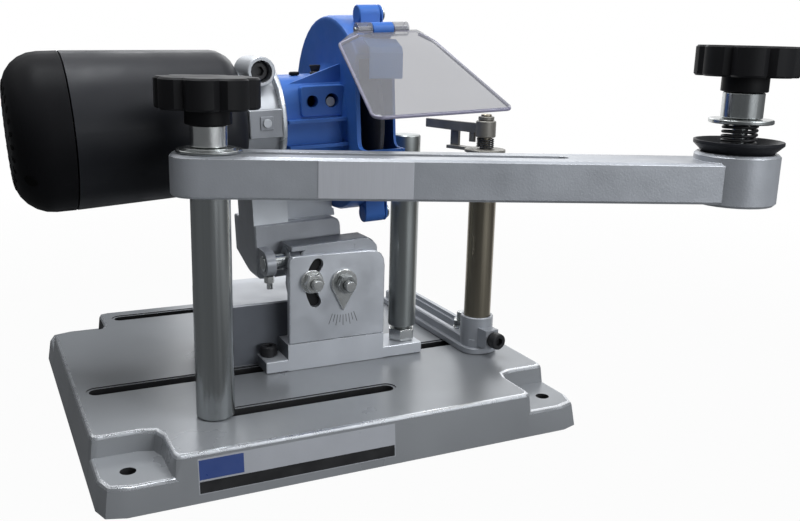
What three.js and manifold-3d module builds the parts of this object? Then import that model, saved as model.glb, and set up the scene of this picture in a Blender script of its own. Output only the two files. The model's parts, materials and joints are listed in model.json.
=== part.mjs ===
// Saw blade sharpener for circular saw blades, in millimetres, +Z up.
// A slotted base plate carries a front post with a swinging arm that holds the blade,
// a grinding head on a tilting and rocking bracket, a support post under the blade,
// and a stop post whose sprung finger indexes the teeth.
import * as THREE from 'three';
import { mergeVertices } from 'three/addons/utils/BufferGeometryUtils.js';
import Module from 'manifold-3d';

const wasm = await Module();
wasm.setup();

// Fits shared by all pieces
const seat = 0.3;              // gap between pieces that touch
const slip = 0.4;              // gap round a piece that slides or turns
const overrun = 2;             // how far a cut passes the face it opens
const bind = 1;                // how far joined forms run into each other
const edgeBreak = 0.6;         // broken edge of a casting or bolt
const fineBreak = 0.4;         // broken edge of a small piece
const cornerBreak = 1;         // rounded corner of a flat outline
const degree = Math.PI / 180;

// Shares of a piece's own size
const fullRoundShare = 0.999;  // of half a slot's width, as its end radius
const endRoundShare = 0.98;    // of half a bar's width, as its end radius
const softShare = 0.3;         // of a rounding, where its middle point lies
const chamferShare = 0.1;      // of a round piece's radius
const washerBreakShare = 0.2;  // of a washer's thickness
const sleeveBreakShare = 0.05; // of a sleeve's radius

// Base plate
const baseLength = 345;
const baseDepth = 314;
const baseHeight = 32;
const earHeight = 18.4;
const earLength = 42;
const earDepth = 46;
const baseDraft = 3;
const earDraft = 2.2;
const baseSkin = 6;
const baseWall = 5;
const earSkin = 5;
const baseCornerRadius = 16;
const upperCornerRadius = 5;
const notchRadius = 13;
const edgeRound = 2.4;
const earHoleRadius = 5;
const slotWidth = 11;
const slotLipWidth = 2;
const slotLipDepth = 0.8;
const frontSlotY = -103;
const middleSlotY = -32;
const backSlotY = 133;
const frontSlotClears = [75.5, 131.5];
const middleSlotClears = [12.5, 20.5];
const backSlotClears = [55.5, 60.5];
const slotEnds = (clears) => [clears[0] - baseLength / 2, baseLength / 2 - clears[1]];
const frontSlotEnds = slotEnds(frontSlotClears);
const middleSlotEnds = slotEnds(middleSlotClears);
const backSlotEnds = slotEnds(backSlotClears);
const ribThickness = 4;
const ribHeight = 12;
const ribClear = 14;
const ribPlaceShare = 0.2;

// Front post and the clamp of the arm
const postFromSlotEnd = 8;
const postX = frontSlotEnds[0] + postFromSlotEnd;
const postRadius = 12.5;
const postTop = 179.5;
const postChamfer = 1;
const studRadius = 5;
const boltHeadAcross = 17;
const boltHeadHeight = 6.5;
const plateWasherRadius = 13;
const plateWasherThickness = 2.5;

// Swinging arm
const armSwing = -21.4 * degree;
const armWidth = 42;
const armHeight = 26;
const armReach = 337;
const armHeelSetback = 3;
const armEdgeRound = 1.6;
const armSlotWidth = 11.4;
const armSlotEnd = 226;
const bossRadius = 27;
const bossWall = 4;
const bossHeight = 33;
const bossFloor = 9;
const bossDrop = 1.8;
const clampWasherRadius = 20.5;
const clampWasherThickness = 2;
const clampStepRadius = 16.5;
const clampStepThickness = 1;
const clampTongueDepth = 4;
const armSleeveRadius = 11.4;
const armSleeveLength = 13.4;

// Star knobs
const knobRadius = 32;
const knobLobes = 8;
const knobLobeDepth = 4.5;
const knobHeight = 19;
const knobRound = 1.2;
const knobHubRadius = 14.6;
const knobHubHeight = 9.4;
const knobSocketDepth = 20;
const knobBreakShare = 0.33;

// Blade holder
const spindleRadius = 5;
const spindleCollarRadius = 10;
const spindleCollarHeight = 9;
const coneRimRadius = 28.2;
const coneThickness = 2.6;
const coneSlopeShare = 1.08;
const coneWallShare = 1.2;
const coneDrop = 14;
const coneRimHeight = 2.2;
const springWire = 2.4;
const springRadius = 10.4;
const springCurls = 5;
const springLength = 21.6;
const bladeWasherRadius = 20.2;
const bladeWasherThickness = 3;
const bladeSleeveRadius = 13;
const bladeSleeveLength = 16.4;

// Head base: foot, front block, rear block and angle plate
const footEnds = [-36, 93.5];
const blockEnds = [-19, 59.5];
const rearBlockEnds = [-68, 59.5];
const blockFrontY = -47;
const footBackY = -17;
const rearBlockFrontY = -25;
const rearBlockBackY = 48;
const footThickness = 9;
const frontBlockTop = 53;
const rearBlockTop = 81;
const rearBlockWall = 6;
const angleSteelThickness = 5;
const angleSteelInset = 1;
const angleSteelTop = 120.5;
const angleCornerRadius = 13;
const capScrewX = -29.5;
const capHeadRadius = 6.5;
const capHeadHeight = 8;
const capShankRadius = 4;
const capSocketAcross = 6;
const capSocketDepth = 4;
const supportPostX = 82.5;
const supportPostRadius = 11;
const supportPostTop = 206;
const supportPostBottom = 53;
const supportThreadRadius = 6.5;
const supportNutAcross = 19;
const supportNutHeight = 9.5;
const slotStudDepth = 13.5;

// Bevel tilt
const tiltX = 25;
const tiltZ = 97.5;
const restTilt = -2.8 * degree;
const tiltDiscRadius = 39.5;
const tiltBlockDepth = 14.5;
const tiltShelfTop = 128.5;
const tiltShelfEnds = [-13, 49];
const tiltShelfDepth = 20;
const tiltShelfHeight = 4;
const tiltDiscRight = 56;
const pivotBoltRadius = 4;
const nutAcross = 13;
const nutHeight = 6.5;
const washerRadius = 9;
const arcRadius = 26;
const arcStudAngle = 173 * degree;
const arcHalfSpan = 33.5 * degree;
const arcMiddleAngle = 176.5 * degree;
const arcSlotWidth = 9;
const boltTipLength = 6;
const arcStudDepth = 7;
const pointerRadius = 10.5;
const pointerReach = 22;
const pointerThickness = 2.2;
const pointerTurn = 5 * degree;

// Rocking pivot of the head
const rockY = -30;
const rockZ = 115.5;
const rockTubeRadius = 11.3;
const rockTubeEnds = [-14.5, 27];
const rockShaftRadius = 6;
const rockShaftEnds = [-31, 37];
const rockLugRadius = 9.5;
const rockRearLugRadius = 7;
const rockLugWidth = 7;
const rockWindowClear = 1;
const rockShaftStub = 1.4;
const lockBoltRadius = 2.3;
const collarBoltAcross = 7;
const collarBoltHead = 5;
const collarBoltLength = 5;

// Head bracket casting
const bracketEnds = [-32.5, 36.5];
const bracketFrontY = -17;
const bracketBackY = 38;
const bracketBottom = 100;
const bracketShelfTop = 141.5;
const bracketColumnWidth = 27;
const bracketRecess = 1.6;
const bracketRecessHeight = 22;
const bracketCornerRadius = 4;
const bracketWall = 8;
const bracketBackRise = 14;
const columnDrop = 14.2;
const columnBackY = 24;
const saddleBackY = 30;
const saddleDrop = 27.2;
const riserShare = 0.6;
const saddleShare = 0.7;

// Grinding head, measured along its axis
const headY = -5;
const headZ = 219.2;
const barrelEnds = [-155, -39.6];
const barrelRadius = 53.4;
const barrelTaper = 2.7;
const barrelWall = 4;
const barrelShoulder = 15;
const noseRadius = 24;
const capLength = 36.5;
const capDome = 24;
const capSeam = 0.8;
const capVentCount = 10;
const capVentWidth = 3.2;
const capVentReach = 5;
const capVentRing = 21;
const collarEnds = [-39.1, -12.1];
const collarRadius = 34.5;
const collarRimRadius = 36.5;
const collarRimWidth = 4.5;
const collarPadWidth = 20;
const collarPadDepth = 4;
const clampBossRadius = 10.2;
const clampBossLength = 34;
const clampBossX = -27.6;
const clampBossDrop = 1.4;
const clampBossFrontY = -41;
const clampBoreRadius = 7.7;
const clampBoreDepth = 14;

// Guard
const guardEnds = [34.4, 65];
const guardEarStart = 46.5;
const coverThickness = 2;
const guardRadius = 73;
const guardWall = 3;
const guardEdgeRound = 3.5;
const neckEnds = [-11.4, 34.4];
const neckHalfHeight = 30.5;
const neckHalfDepth = 32;
const neckCornerRadius = 19;
const neckFlareLength = 12;
const guardMouthY = -60;
const guardMouthZ = [199, 268];
const guardEarOffset = [-32, 73];
const guardEarRadius = 6.8;
const guardScrewShare = 0.75;
const neckPadHeight = 22;
const neckPadThickness = 2;
const neckPadHoles = [9.5, 24.5];
const neckPadHoleRadii = [4.4, 5.2];
const neckPadHoleDepth = 8;
const neckRidgeThickness = 2.4;
const neckRidgeReach = 7;
const neckRidgeShare = 0.6;
const neckRibThickness = 3;
const neckRibFoot = 9;
const neckRibRise = 7.9;
const neckRibSet = 5;
const neckRibReach = 18;
const plugRadius = 3.8;
const plugHeight = 2.6;
const plugStemShare = 0.7;
const thumbScrewRadius = 2.6;
const thumbScrewLength = 8;
const thumbWingLength = 9;
const thumbWingHeight = 5;
const thumbNeckShare = 1.5;
const thumbFootShare = 0.3;

// Shield and its hinge
const hingeOffset = [-54.5, 62.5];
const hingeRadius = 5;
const hingePinRadius = 1.8;
const hingeBarrelEnds = [47.5, 63.5];
const hingeRelief = 1;
const hingePinStub = 1;
const hingeWebShares = { root: 0.7, drop: [2.6, 3], reach: [3.4, 0.6] };
const shieldRootShare = 0.6;
const shieldEnds = [36, 75.4];
const shieldMiddle = 58.4;
const shieldThickness = 2;
const shieldLength = 104;
const shieldSlope = 29.5 * degree;
const shieldTopHalfWidth = 23.5;
const shieldBottomHalfWidth = 45.5;
const shieldWingTop = 15;
const shieldWingBottom = 5;
const shieldWingAngle = 24 * degree;

// Wheel, spindle and motor insides
const wheelX = 51.4;
const wheelRadius = 62.5;
const wheelThickness = 3.6;
const wheelBoreRadius = 6;
const wheelEdgeShare = 0.33;
const shaftRadius = 6;
const shaftStart = -176.5;
const shaftEndClear = 1;
const flangeRadius = 17;
const flangeThickness = 3.2;
const wheelNutAcross = 17;
const wheelNutHeight = 5;
const bearingRadius = 14;
const bearingWidth = 9;
const bearingX = [-174, -24.6];
const rotorGap = 4.4;
const rotorLength = 62;
const statorWall = 15;
const innardsX = -96;

// Stop slide, stop post and finger
const stopFromEdge = 33;
const stopX = baseLength / 2 - stopFromEdge;
const stopY = -55;
const slideWidth = 31;
const slideRailWidth = 25;
const slideBackY = 92;
const slideHeight = 12;
const slideStep = 5;
const slideSlotWidth = 11.4;
const slideSlotStart = 15;
const slideGrooveWidth = 16;
const slideGrooveDepth = 3;
const stopBossRadius = 13.1;
const stopBossTop = 61.5;
const stopPostRadius = 10.7;
const stopPostFoot = 37;
const stopPostTop = 193;
const clampLugWidth = 12;
const clampLugDepth = 9;
const clampLugHeight = 15;
const clampScrewZ = 46.5;
const clampScrewOffset = 2;
const clampLugRootShare = 0.7;
const clampLugTurn = -84 * degree;
const fingerStudRadius = 4.2;
const fingerStudTop = 222.5;
const carrierRadius = 16;
const carrierThickness = 2.5;
const carrierReach = 36;
const carrierWidth = 8;
const carrierRise = 15;
const fingerDirection = 111.4 * degree;
const fingerCollarRadius = 7.8;
const fingerCollarBottom = 204.8;
const fingerCollarHeight = 12.6;
const fingerReach = 60;
const fingerHeight = 8;
const fingerThickness = 3;
const fingerTaper = 1;
const fingerBreak = 0.3;
const fingerNutShare = 0.8;
const fingerTabDrop = 7;
const fingerTabWidth = 5;
const fingerTabReach = 15;
const torsionWire = 1;
const torsionRadius = 6.4;
const torsionCurls = 4;

// Round pieces: faces per turn
const coarse = 12;
const medium = 16;
const fine = 24;
const broad = 44;

const paint = {
  castGrey: new THREE.MeshStandardMaterial({ color: 0x9a9fa6, roughness: 0.45, metalness: 0.6 }),
  silver: new THREE.MeshStandardMaterial({ color: 0xa3a7ae, roughness: 0.4, metalness: 0.6 }),
  zinc: new THREE.MeshStandardMaterial({ color: 0xb8bdbd, roughness: 0.25, metalness: 0.9 }),
  steel: new THREE.MeshStandardMaterial({ color: 0x8e8f8c, roughness: 0.35, metalness: 0.9 }),
  bronze: new THREE.MeshStandardMaterial({ color: 0x6f655a, roughness: 0.35, metalness: 0.9 }),
  dark: new THREE.MeshStandardMaterial({ color: 0x17191b, roughness: 0.5, metalness: 0.3 }),
  black: new THREE.MeshStandardMaterial({ color: 0x1d1d1f, roughness: 0.5, metalness: 0 }),
  blue: new THREE.MeshStandardMaterial({ color: 0x2c5fae, roughness: 0.4, metalness: 0 }),
  clear: new THREE.MeshStandardMaterial({ color: 0xcfd0dc, roughness: 0.1, opacity: 0.4, transparent: true }),
  grit: new THREE.MeshStandardMaterial({ color: 0x4a3a33, roughness: 0.9, metalness: 0 }),
  copper: new THREE.MeshStandardMaterial({ color: 0xa8683c, roughness: 0.5, metalness: 0.7 })
};

// Geometry helpers

function welded(geometry) {
  const bare = geometry.index ? geometry.clone() : geometry;
  bare.deleteAttribute('normal');
  bare.deleteAttribute('uv');
  const merged = mergeVertices(bare, 1e-4);
  const index = Array.from(merged.index.array);
  const kept = [];
  for (let i = 0; i < index.length; i += 3) {
    const [a, b, c] = index.slice(i, i + 3);
    if (a !== b && b !== c && c !== a) kept.push(a, b, c);
  }
  merged.setIndex(kept);
  return merged;
}

function solid(geometry) {
  const clean = welded(geometry);
  return new wasm.Manifold(new wasm.Mesh({
    numProp: 3,
    vertProperties: Float32Array.from(clean.attributes.position.array),
    triVerts: Uint32Array.from(clean.index.array)
  }));
}

function shell(body) {
  const mesh = body.getMesh();
  const geometry = new THREE.BufferGeometry();
  geometry.setAttribute('position', new THREE.BufferAttribute(Float32Array.from(mesh.vertProperties), 3));
  geometry.setIndex(Array.from(mesh.triVerts));
  geometry.computeVertexNormals();
  return geometry;
}

function join(...bodies) {
  return bodies.reduce((sum, body) => sum.add(body));
}

function cut(body, ...tools) {
  return tools.reduce((rest, tool) => rest.subtract(tool), body);
}

function block(x0, x1, y0, y1, z0, z1) {
  const box = new THREE.BoxGeometry(x1 - x0, y1 - y0, z1 - z0);
  box.translate((x0 + x1) / 2, (y0 + y1) / 2, (z0 + z1) / 2);
  return solid(box);
}

// A turned piece on the Z axis: profile points are [radius, height]
function turned(profile, faces = medium) {
  const points = profile.map(([r, z]) => new THREE.Vector2(r, z));
  const lathe = new THREE.LatheGeometry([...points, points[0]], faces);
  lathe.rotateX(Math.PI / 2);
  return solid(lathe);
}

function rod(radius, z0, z1, faces = medium, chamfer = 0) {
  if (chamfer === 0) return turned([[0, z0], [radius, z0], [radius, z1], [0, z1]], faces);
  return turned([
    [0, z0], [radius - chamfer, z0], [radius, z0 + chamfer],
    [radius, z1 - chamfer], [radius - chamfer, z1], [0, z1]
  ], faces);
}

function moved(body, x = 0, y = 0, z = 0) {
  return body.translate([x, y, z]);
}

// A turned piece laid along X, its height becoming X
function alongX(body) {
  return body.rotate([0, 90, 0]);
}

// A turned piece laid along Y, its height becoming Y
function alongY(body) {
  return body.rotate([-90, 0, 0]);
}

// An outline raised from z0 to z1, its top edge rounded when round is given
function raised(shape, z0, z1, round = 0, faces = 4) {
  const settings = { depth: z1 - z0, bevelEnabled: false, curveSegments: faces };
  if (round > 0) {
    Object.assign(settings, {
      depth: z1 - z0 - 2 * round, bevelEnabled: true, bevelSize: round, bevelOffset: -round,
      bevelThickness: round, bevelSegments: 1
    });
  }
  const extrude = new THREE.ExtrudeGeometry(shape, settings);
  extrude.translate(0, 0, z0 + round);
  return solid(extrude);
}

function roundedRectangle(x0, x1, y0, y1, radius) {
  const shape = new THREE.Shape();
  shape.moveTo(x0 + radius, y0);
  shape.lineTo(x1 - radius, y0);
  shape.absarc(x1 - radius, y0 + radius, radius, -Math.PI / 2, 0);
  shape.lineTo(x1, y1 - radius);
  shape.absarc(x1 - radius, y1 - radius, radius, 0, Math.PI / 2);
  shape.lineTo(x0 + radius, y1);
  shape.absarc(x0 + radius, y1 - radius, radius, Math.PI / 2, Math.PI);
  shape.lineTo(x0, y0 + radius);
  shape.absarc(x0 + radius, y0 + radius, radius, Math.PI, Math.PI * 1.5);
  return shape;
}

function hexagon(across) {
  const shape = new THREE.Shape();
  const corner = across / Math.sqrt(3);
  for (let i = 0; i < 6; i++) {
    const angle = i * 60 * degree;
    const step = i === 0 ? 'moveTo' : 'lineTo';
    shape[step](corner * Math.cos(angle), corner * Math.sin(angle));
  }
  shape.closePath();
  return shape;
}

// Stacked outlines of equal point count, closed by flat ends
function loft(rings) {
  const count = rings[0].length;
  const positions = [];
  const index = [];
  for (const points of rings) for (const [x, y, z] of points) positions.push(x, y, z);
  for (let level = 0; level + 1 < rings.length; level++) {
    for (let i = 0; i < count; i++) {
      const a = level * count + i;
      const b = level * count + (i + 1) % count;
      index.push(a, b, b + count, a, b + count, a + count);
    }
  }
  const last = (rings.length - 1) * count;
  const flat = rings[0].map(([x, y]) => new THREE.Vector2(x, y));
  for (const [a, b, c] of THREE.ShapeUtils.triangulateShape(flat, [])) index.push(c, b, a);
  const top = rings[rings.length - 1].map(([x, y]) => new THREE.Vector2(x, y));
  for (const [a, b, c] of THREE.ShapeUtils.triangulateShape(top, [])) index.push(last + a, last + b,
    last + c);
  const geometry = new THREE.BufferGeometry();
  geometry.setAttribute('position', new THREE.Float32BufferAttribute(positions, 3));
  geometry.setIndex(index);
  return solid(geometry);
}

// A coil spring on the Z axis: one unbroken tube whose ends stand straight on their seats
function coil(radius, wire, curls, length, name) {
  const steps = 8;
  const sides = 5;
  const path = [];
  const start = wire;
  const climb = length - 2 * wire;
  const total = curls * steps;
  path.push(new THREE.Vector3(radius, 0, 0));
  for (let i = 0; i <= total; i++) {
    const turn = i / steps * 2 * Math.PI;
    path.push(new THREE.Vector3(radius * Math.cos(turn), radius * Math.sin(turn), start + climb * i / total));
  }
  const end = path[path.length - 1];
  path.push(new THREE.Vector3(end.x, end.y, length));
  const positions = [];
  const index = [];
  path.forEach((point, i) => {
    const upright = i === 0 || i === path.length - 1;
    const before = path[Math.max(i - 1, 0)];
    const after = path[Math.min(i + 1, path.length - 1)];
    const run = upright ? new THREE.Vector3(0, 0, 1) : after.clone().sub(before).normalize();
    const out = new THREE.Vector3(point.x, point.y, 0).normalize();
    const side = new THREE.Vector3().crossVectors(run, out).normalize();
    const across = new THREE.Vector3().crossVectors(side, run).normalize();
    for (let k = 0; k < sides; k++) {
      const angle = k / sides * 2 * Math.PI;
      const spoke = across.clone().multiplyScalar(Math.cos(angle) * wire / 2);
      spoke.addScaledVector(side, Math.sin(angle) * wire / 2);
      positions.push(point.x + spoke.x, point.y + spoke.y, point.z + spoke.z);
    }
  });
  for (let i = 0; i + 1 < path.length; i++) {
    for (let k = 0; k < sides; k++) {
      const a = i * sides + k;
      const b = i * sides + (k + 1) % sides;
      index.push(a, b, b + sides, a, b + sides, a + sides);
    }
  }
  const last = (path.length - 1) * sides;
  for (let k = 1; k + 1 < sides; k++) {
    index.push(0, k + 1, k);
    index.push(last, last + k, last + k + 1);
  }
  let gap = Infinity;
  for (let i = 0; i < path.length; i++) {
    for (let j = i + steps / 2; j < path.length; j++) {
      gap = Math.min(gap, path[i].distanceTo(path[j]) - wire);
    }
  }
  console.log(`${name}: least gap between curls ${gap.toFixed(2)} mm`);
  const geometry = new THREE.BufferGeometry();
  geometry.setAttribute('position', new THREE.Float32BufferAttribute(positions, 3));
  geometry.setIndex(index);
  return solid(geometry);
}

function socketScrew(headRadius, headHeight, shankRadius, shankLength) {
  const head = rod(headRadius, 0, headHeight, medium, headHeight * chamferShare);
  const shank = rod(shankRadius, -shankLength, seat, coarse);
  const socket = raised(hexagon(capSocketAcross), headHeight - capSocketDepth, headHeight + overrun);
  return cut(join(head, shank), socket);
}

function hexNut(across, height) {
  const corner = across / Math.sqrt(3);
  const crown = turned([
    [0, 0], [across / 2, 0], [corner, (corner - across / 2) / 2], [corner,
      height - (corner - across / 2) / 2],
    [across / 2, height], [0, height]
  ], coarse);
  return raised(hexagon(across), 0, height).intersect(crown);
}

function starKnob() {
  const shape = new THREE.Shape();
  const steps = 6;
  const count = knobLobes * steps;
  for (let i = 0; i < count; i++) {
    const angle = i / count * 2 * Math.PI;
    const wave = Math.abs(Math.sin(angle * knobLobes / 2));
    const radius = knobRadius - knobLobeDepth * (1 - wave) ** 2;
    const step = i === 0 ? 'moveTo' : 'lineTo';
    shape[step](radius * Math.cos(angle), radius * Math.sin(angle));
  }
  shape.closePath();
  const head = raised(shape, knobHubHeight, knobHubHeight + knobHeight, knobRound);
  const hub = rod(knobHubRadius, 0, knobHubHeight + knobRound, medium, knobRound * knobBreakShare);
  const bore = rod(studRadius + slip, -overrun, knobSocketDepth, coarse);
  return cut(join(head, hub), bore);
}

// An outline through corner points, each corner rounded by its radius
function roundedOutline(corners, radii) {
  const shape = new THREE.Shape();
  const count = corners.length;
  corners.forEach(([x, y], i) => {
    const corner = new THREE.Vector2(x, y);
    const before = new THREE.Vector2(...corners[(i + count - 1) % count]);
    const after = new THREE.Vector2(...corners[(i + 1) % count]);
    const radius = Array.isArray(radii) ? radii[i] : radii;
    const enter = before.sub(corner).normalize().multiplyScalar(radius).add(corner);
    const leave = after.sub(corner).normalize().multiplyScalar(radius).add(corner);
    const step = i === 0 ? 'moveTo' : 'lineTo';
    shape[step](enter.x, enter.y);
    shape.quadraticCurveTo(x, y, leave.x, leave.y);
  });
  shape.closePath();
  return shape;
}

// An outline drawn in X and Z, raised along Y
function raisedY(shape, y0, y1, round = 0, faces = 4) {
  return raised(shape, -y1, -y0, round, faces).rotate([90, 0, 0]);
}

// An outline drawn in Y and Z, raised along X
function raisedX(shape, x0, x1, round = 0, faces = 4) {
  return raised(shape, x0, x1, round, faces).rotate([90, 0, 90]);
}

// A turned piece along X round the given axis
function rodX(radius, x0, x1, y, z, faces = medium, chamfer = 0) {
  return moved(alongX(rod(radius, x0, x1, faces, chamfer)), 0, y, z);
}

// A turned piece along Y round the given axis
function rodY(radius, y0, y1, x, z, faces = medium, chamfer = 0) {
  return moved(alongY(rod(radius, y0, y1, faces, chamfer)), x, 0, z);
}

function rodZ(radius, z0, z1, x, y, faces = medium, chamfer = 0) {
  return moved(rod(radius, z0, z1, faces, chamfer), x, y);
}

function piece(name, body, material) {
  const mesh = new THREE.Mesh(shell(body), material);
  mesh.name = name;
  return mesh;
}

function frame(name, ...children) {
  const group = new THREE.Group();
  group.name = name;
  if (children.length > 0) group.add(...children);
  return group;
}

// Base plate: cross-shaped top over four lower ears, hollow beneath
function crossOutline(grow) {
  const x = baseLength / 2 + grow;
  const y = baseDepth / 2 + grow;
  const nx = baseLength / 2 - earLength + grow;
  const ny = baseDepth / 2 - earDepth + grow;
  const outer = upperCornerRadius;
  const inner = notchRadius;
  const corners = [
    [-nx, -y], [nx, -y], [nx, -ny], [x, -ny], [x, ny], [nx, ny],
    [nx, y], [-nx, y], [-nx, ny], [-x, ny], [-x, -ny], [-nx, -ny]
  ];
  const radii = [outer, outer, inner, outer, outer, inner, outer, outer, inner, outer, outer, inner];
  return roundedOutline(corners, radii);
}

function earOutline(grow) {
  const x = baseLength / 2 + grow;
  const y = baseDepth / 2 + grow;
  return roundedOutline([[-x, -y], [x, -y], [x, y], [-x, y]], baseCornerRadius);
}

function level(shape, z) {
  return shape.getPoints(2).slice(0, -1).map((point) => [point.x, point.y, z]);
}

function draftedSlab(outline, height, shrink) {
  return loft([
    level(outline(0), 0),
    level(outline(-shrink), height - edgeRound),
    level(outline(-shrink - edgeRound * softShare), height - edgeRound * softShare),
    level(outline(-shrink - edgeRound), height)
  ]);
}

function baseSlot(ends, y) {
  const half = slotWidth / 2;
  const through = roundedRectangle(ends[0], ends[1], y - half, y + half, half * fullRoundShare);
  const wide = half + slotLipWidth;
  const mouth = roundedRectangle(
    ends[0] - slotLipWidth, ends[1] + slotLipWidth, y - wide, y + wide, wide * fullRoundShare
  );
  return join(
    raised(through, -overrun, baseHeight + overrun),
    raised(mouth, baseHeight - slotLipDepth, baseHeight + overrun)
  );
}

function basePlate() {
  const body = join(draftedSlab(crossOutline, baseHeight, baseDraft), draftedSlab(earOutline, earHeight,
    earDraft));
  const tray = raised(crossOutline(-baseWall - baseDraft), -overrun, baseHeight - baseSkin);
  const earTray = raised(earOutline(-baseWall - earDraft), -overrun, earHeight - earSkin);
  const ribTop = baseHeight - baseSkin + seat;
  const ribReach = baseLength / 2 - baseWall - baseDraft + bind;
  const ribs = [(frontSlotY + middleSlotY) / 2, (middleSlotY + backSlotY) / 2].map((y) => (
    block(-ribReach, ribReach, y - ribThickness / 2, y + ribThickness / 2, ribTop - ribHeight, ribTop)
  ));
  const lengthwise = [-1, 1].map((side) => {
    const x = side * baseLength * ribPlaceShare;
    return block(x - ribThickness / 2, x + ribThickness / 2, middleSlotY + ribClear, backSlotY - ribClear,
      ribTop - ribHeight, ribTop);
  });
  const holes = [-1, 1].flatMap((sx) => [-1, 1].map((sy) => rodZ(
    earHoleRadius, -overrun, baseHeight, sx * (baseLength - earLength) / 2,
      sy * (baseDepth - earDepth) / 2, medium
  )));
  const hollow = cut(join(tray, earTray), ...ribs, ...lengthwise);
  return cut(
    body, hollow, ...holes,
    baseSlot(frontSlotEnds, frontSlotY), baseSlot(middleSlotEnds, middleSlotY), baseSlot(backSlotEnds,
      backSlotY)
  );
}

// Front post with its stud, and the bolt that holds it in the front slot
const postFoot = baseHeight + seat;
const armBottom = postTop + seat;
const armTop = armBottom + armHeight;
const clampTop = armTop + seat + clampWasherThickness + clampStepThickness;
const armKnobFoot = clampTop + seat + armSleeveLength + seat;
const studTop = armKnobFoot + knobSocketDepth - seat;
const skinBottom = baseHeight - baseSkin;

function frontPost() {
  const post = rod(postRadius, postFoot, postTop, fine, postChamfer);
  const stud = rod(studRadius, postTop - postChamfer, studTop, medium, postChamfer / 2);
  const thread = rod(studRadius, postFoot - overrun, postFoot + boltHeadAcross, coarse);
  const low = skinBottom - plateWasherThickness * 2 - boltHeadHeight;
  const lower = rod(studRadius - seat * 2, low, postFoot + bind, coarse);
  return join(cut(join(post, stud), thread), join(lower, thread.intersect(post)));
}

function postNut() {
  const top = skinBottom - seat;
  const nut = raised(hexagon(boltHeadAcross), top - plateWasherThickness - boltHeadHeight, top - seat);
  const washer = rod(plateWasherRadius, top - plateWasherThickness, top, medium);
  return cut(join(nut, washer), rod(studRadius - seat, 0, top + overrun, coarse));
}

// Arm: slotted bar with a hollow boss for the blade, drawn along its own length
function bladeArm() {
  const half = armWidth / 2;
  const heel = armHeelSetback + half;
  const outline = roundedOutline(
    [[-heel, -half], [armReach, -half], [armReach, half], [-heel, half]],
    [half * endRoundShare, armEdgeRound * 2, armEdgeRound * 2, half * endRoundShare]
  );
  const bar = raised(outline, armBottom, armTop, armEdgeRound, 8);
  const bossFoot = armBottom - bossDrop;
  const boss = rodZ(bossRadius, bossFoot, bossFoot + bossHeight, armReach, 0, fine, armEdgeRound);
  const bore = rodZ(bossRadius - bossWall, bossFoot + bossFloor, armTop + bossHeight, armReach, 0, fine);
  const bolt = rodZ(spindleRadius + seat, 0, armTop, armReach, 0, coarse);
  const slotHalf = armSlotWidth / 2;
  const slot = raised(
    roundedRectangle(-armHeelSetback * 2, armSlotEnd, -slotHalf, slotHalf, slotHalf * fullRoundShare),
    armBottom - overrun, armTop + overrun
  );
  return cut(join(bar, boss), bore, bolt, slot);
}

function clampWasher() {
  const low = armTop + seat;
  const disc = rod(clampWasherRadius, low, low + clampWasherThickness, fine,
    clampWasherThickness * washerBreakShare);
  const step = rod(clampStepRadius, low, clampTop, fine, clampStepThickness * washerBreakShare);
  const tongueHalf = armSlotWidth / 2 - slip;
  const tongue = block(-clampStepRadius, clampStepRadius, -tongueHalf, tongueHalf,
    low - clampTongueDepth, low + seat);
  const heelCut = block(-clampWasherRadius, 0, -clampWasherRadius, clampWasherRadius, 0, low);
  return cut(join(disc, step, cut(tongue, heelCut)), rod(studRadius + slip, 0, clampTop + overrun, medium));
}

function sleeve(outer, foot, length) {
  const tube = rod(outer, foot, foot + length, fine, outer * sleeveBreakShare);
  return cut(tube, rod(studRadius + slip, 0, foot + length + overrun, coarse));
}

// Blade holder on the boss
const bossTop = armBottom - bossDrop + bossHeight;
const coneRimBottom = bossTop + (coneRimRadius - bossRadius + bossWall + slip * 2) / coneSlopeShare;
const coneRimTop = coneRimBottom + coneRimHeight;
const coneFloor = coneRimTop - coneDrop;
const springFoot = coneFloor + coneThickness + seat;
const springHead = springFoot + springLength;
const bladeWasherFoot = springHead + seat;
const bladeSleeveFoot = bladeWasherFoot + bladeWasherThickness + seat;
const bladeKnobFoot = bladeSleeveFoot + bladeSleeveLength + seat;

function bladeSpindle() {
  const low = armBottom - bossDrop + bossFloor;
  const top = bladeKnobFoot + knobSocketDepth - seat;
  const collarTop = low + spindleCollarHeight;
  return join(
    rod(spindleRadius, low - bossFloor + seat, top, medium, spindleRadius * chamferShare),
    rod(spindleCollarRadius, low + seat, collarTop, medium, spindleRadius * chamferShare)
  );
}

function centringCone() {
  const footRadius = coneRimRadius - (coneRimBottom - coneFloor) * coneSlopeShare;
  const inner = coneThickness * coneWallShare;
  return turned([
    [spindleRadius + slip, coneFloor], [footRadius, coneFloor], [coneRimRadius, coneRimBottom],
    [coneRimRadius, coneRimTop], [coneRimRadius - coneThickness / 2, coneRimTop],
    [footRadius - inner + coneThickness, coneFloor + coneThickness],
    [spindleRadius + slip, coneFloor + coneThickness]
  ], fine);
}

function bladeWasher() {
  return cut(
    rod(bladeWasherRadius, bladeWasherFoot, bladeWasherFoot + bladeWasherThickness, fine,
      bladeWasherThickness * washerBreakShare),
    rod(spindleRadius + slip, 0, bladeKnobFoot, coarse)
  );
}

// Head base: foot and blocks in one casting, angle plate on top
const footTop = postFoot + footThickness;

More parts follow.
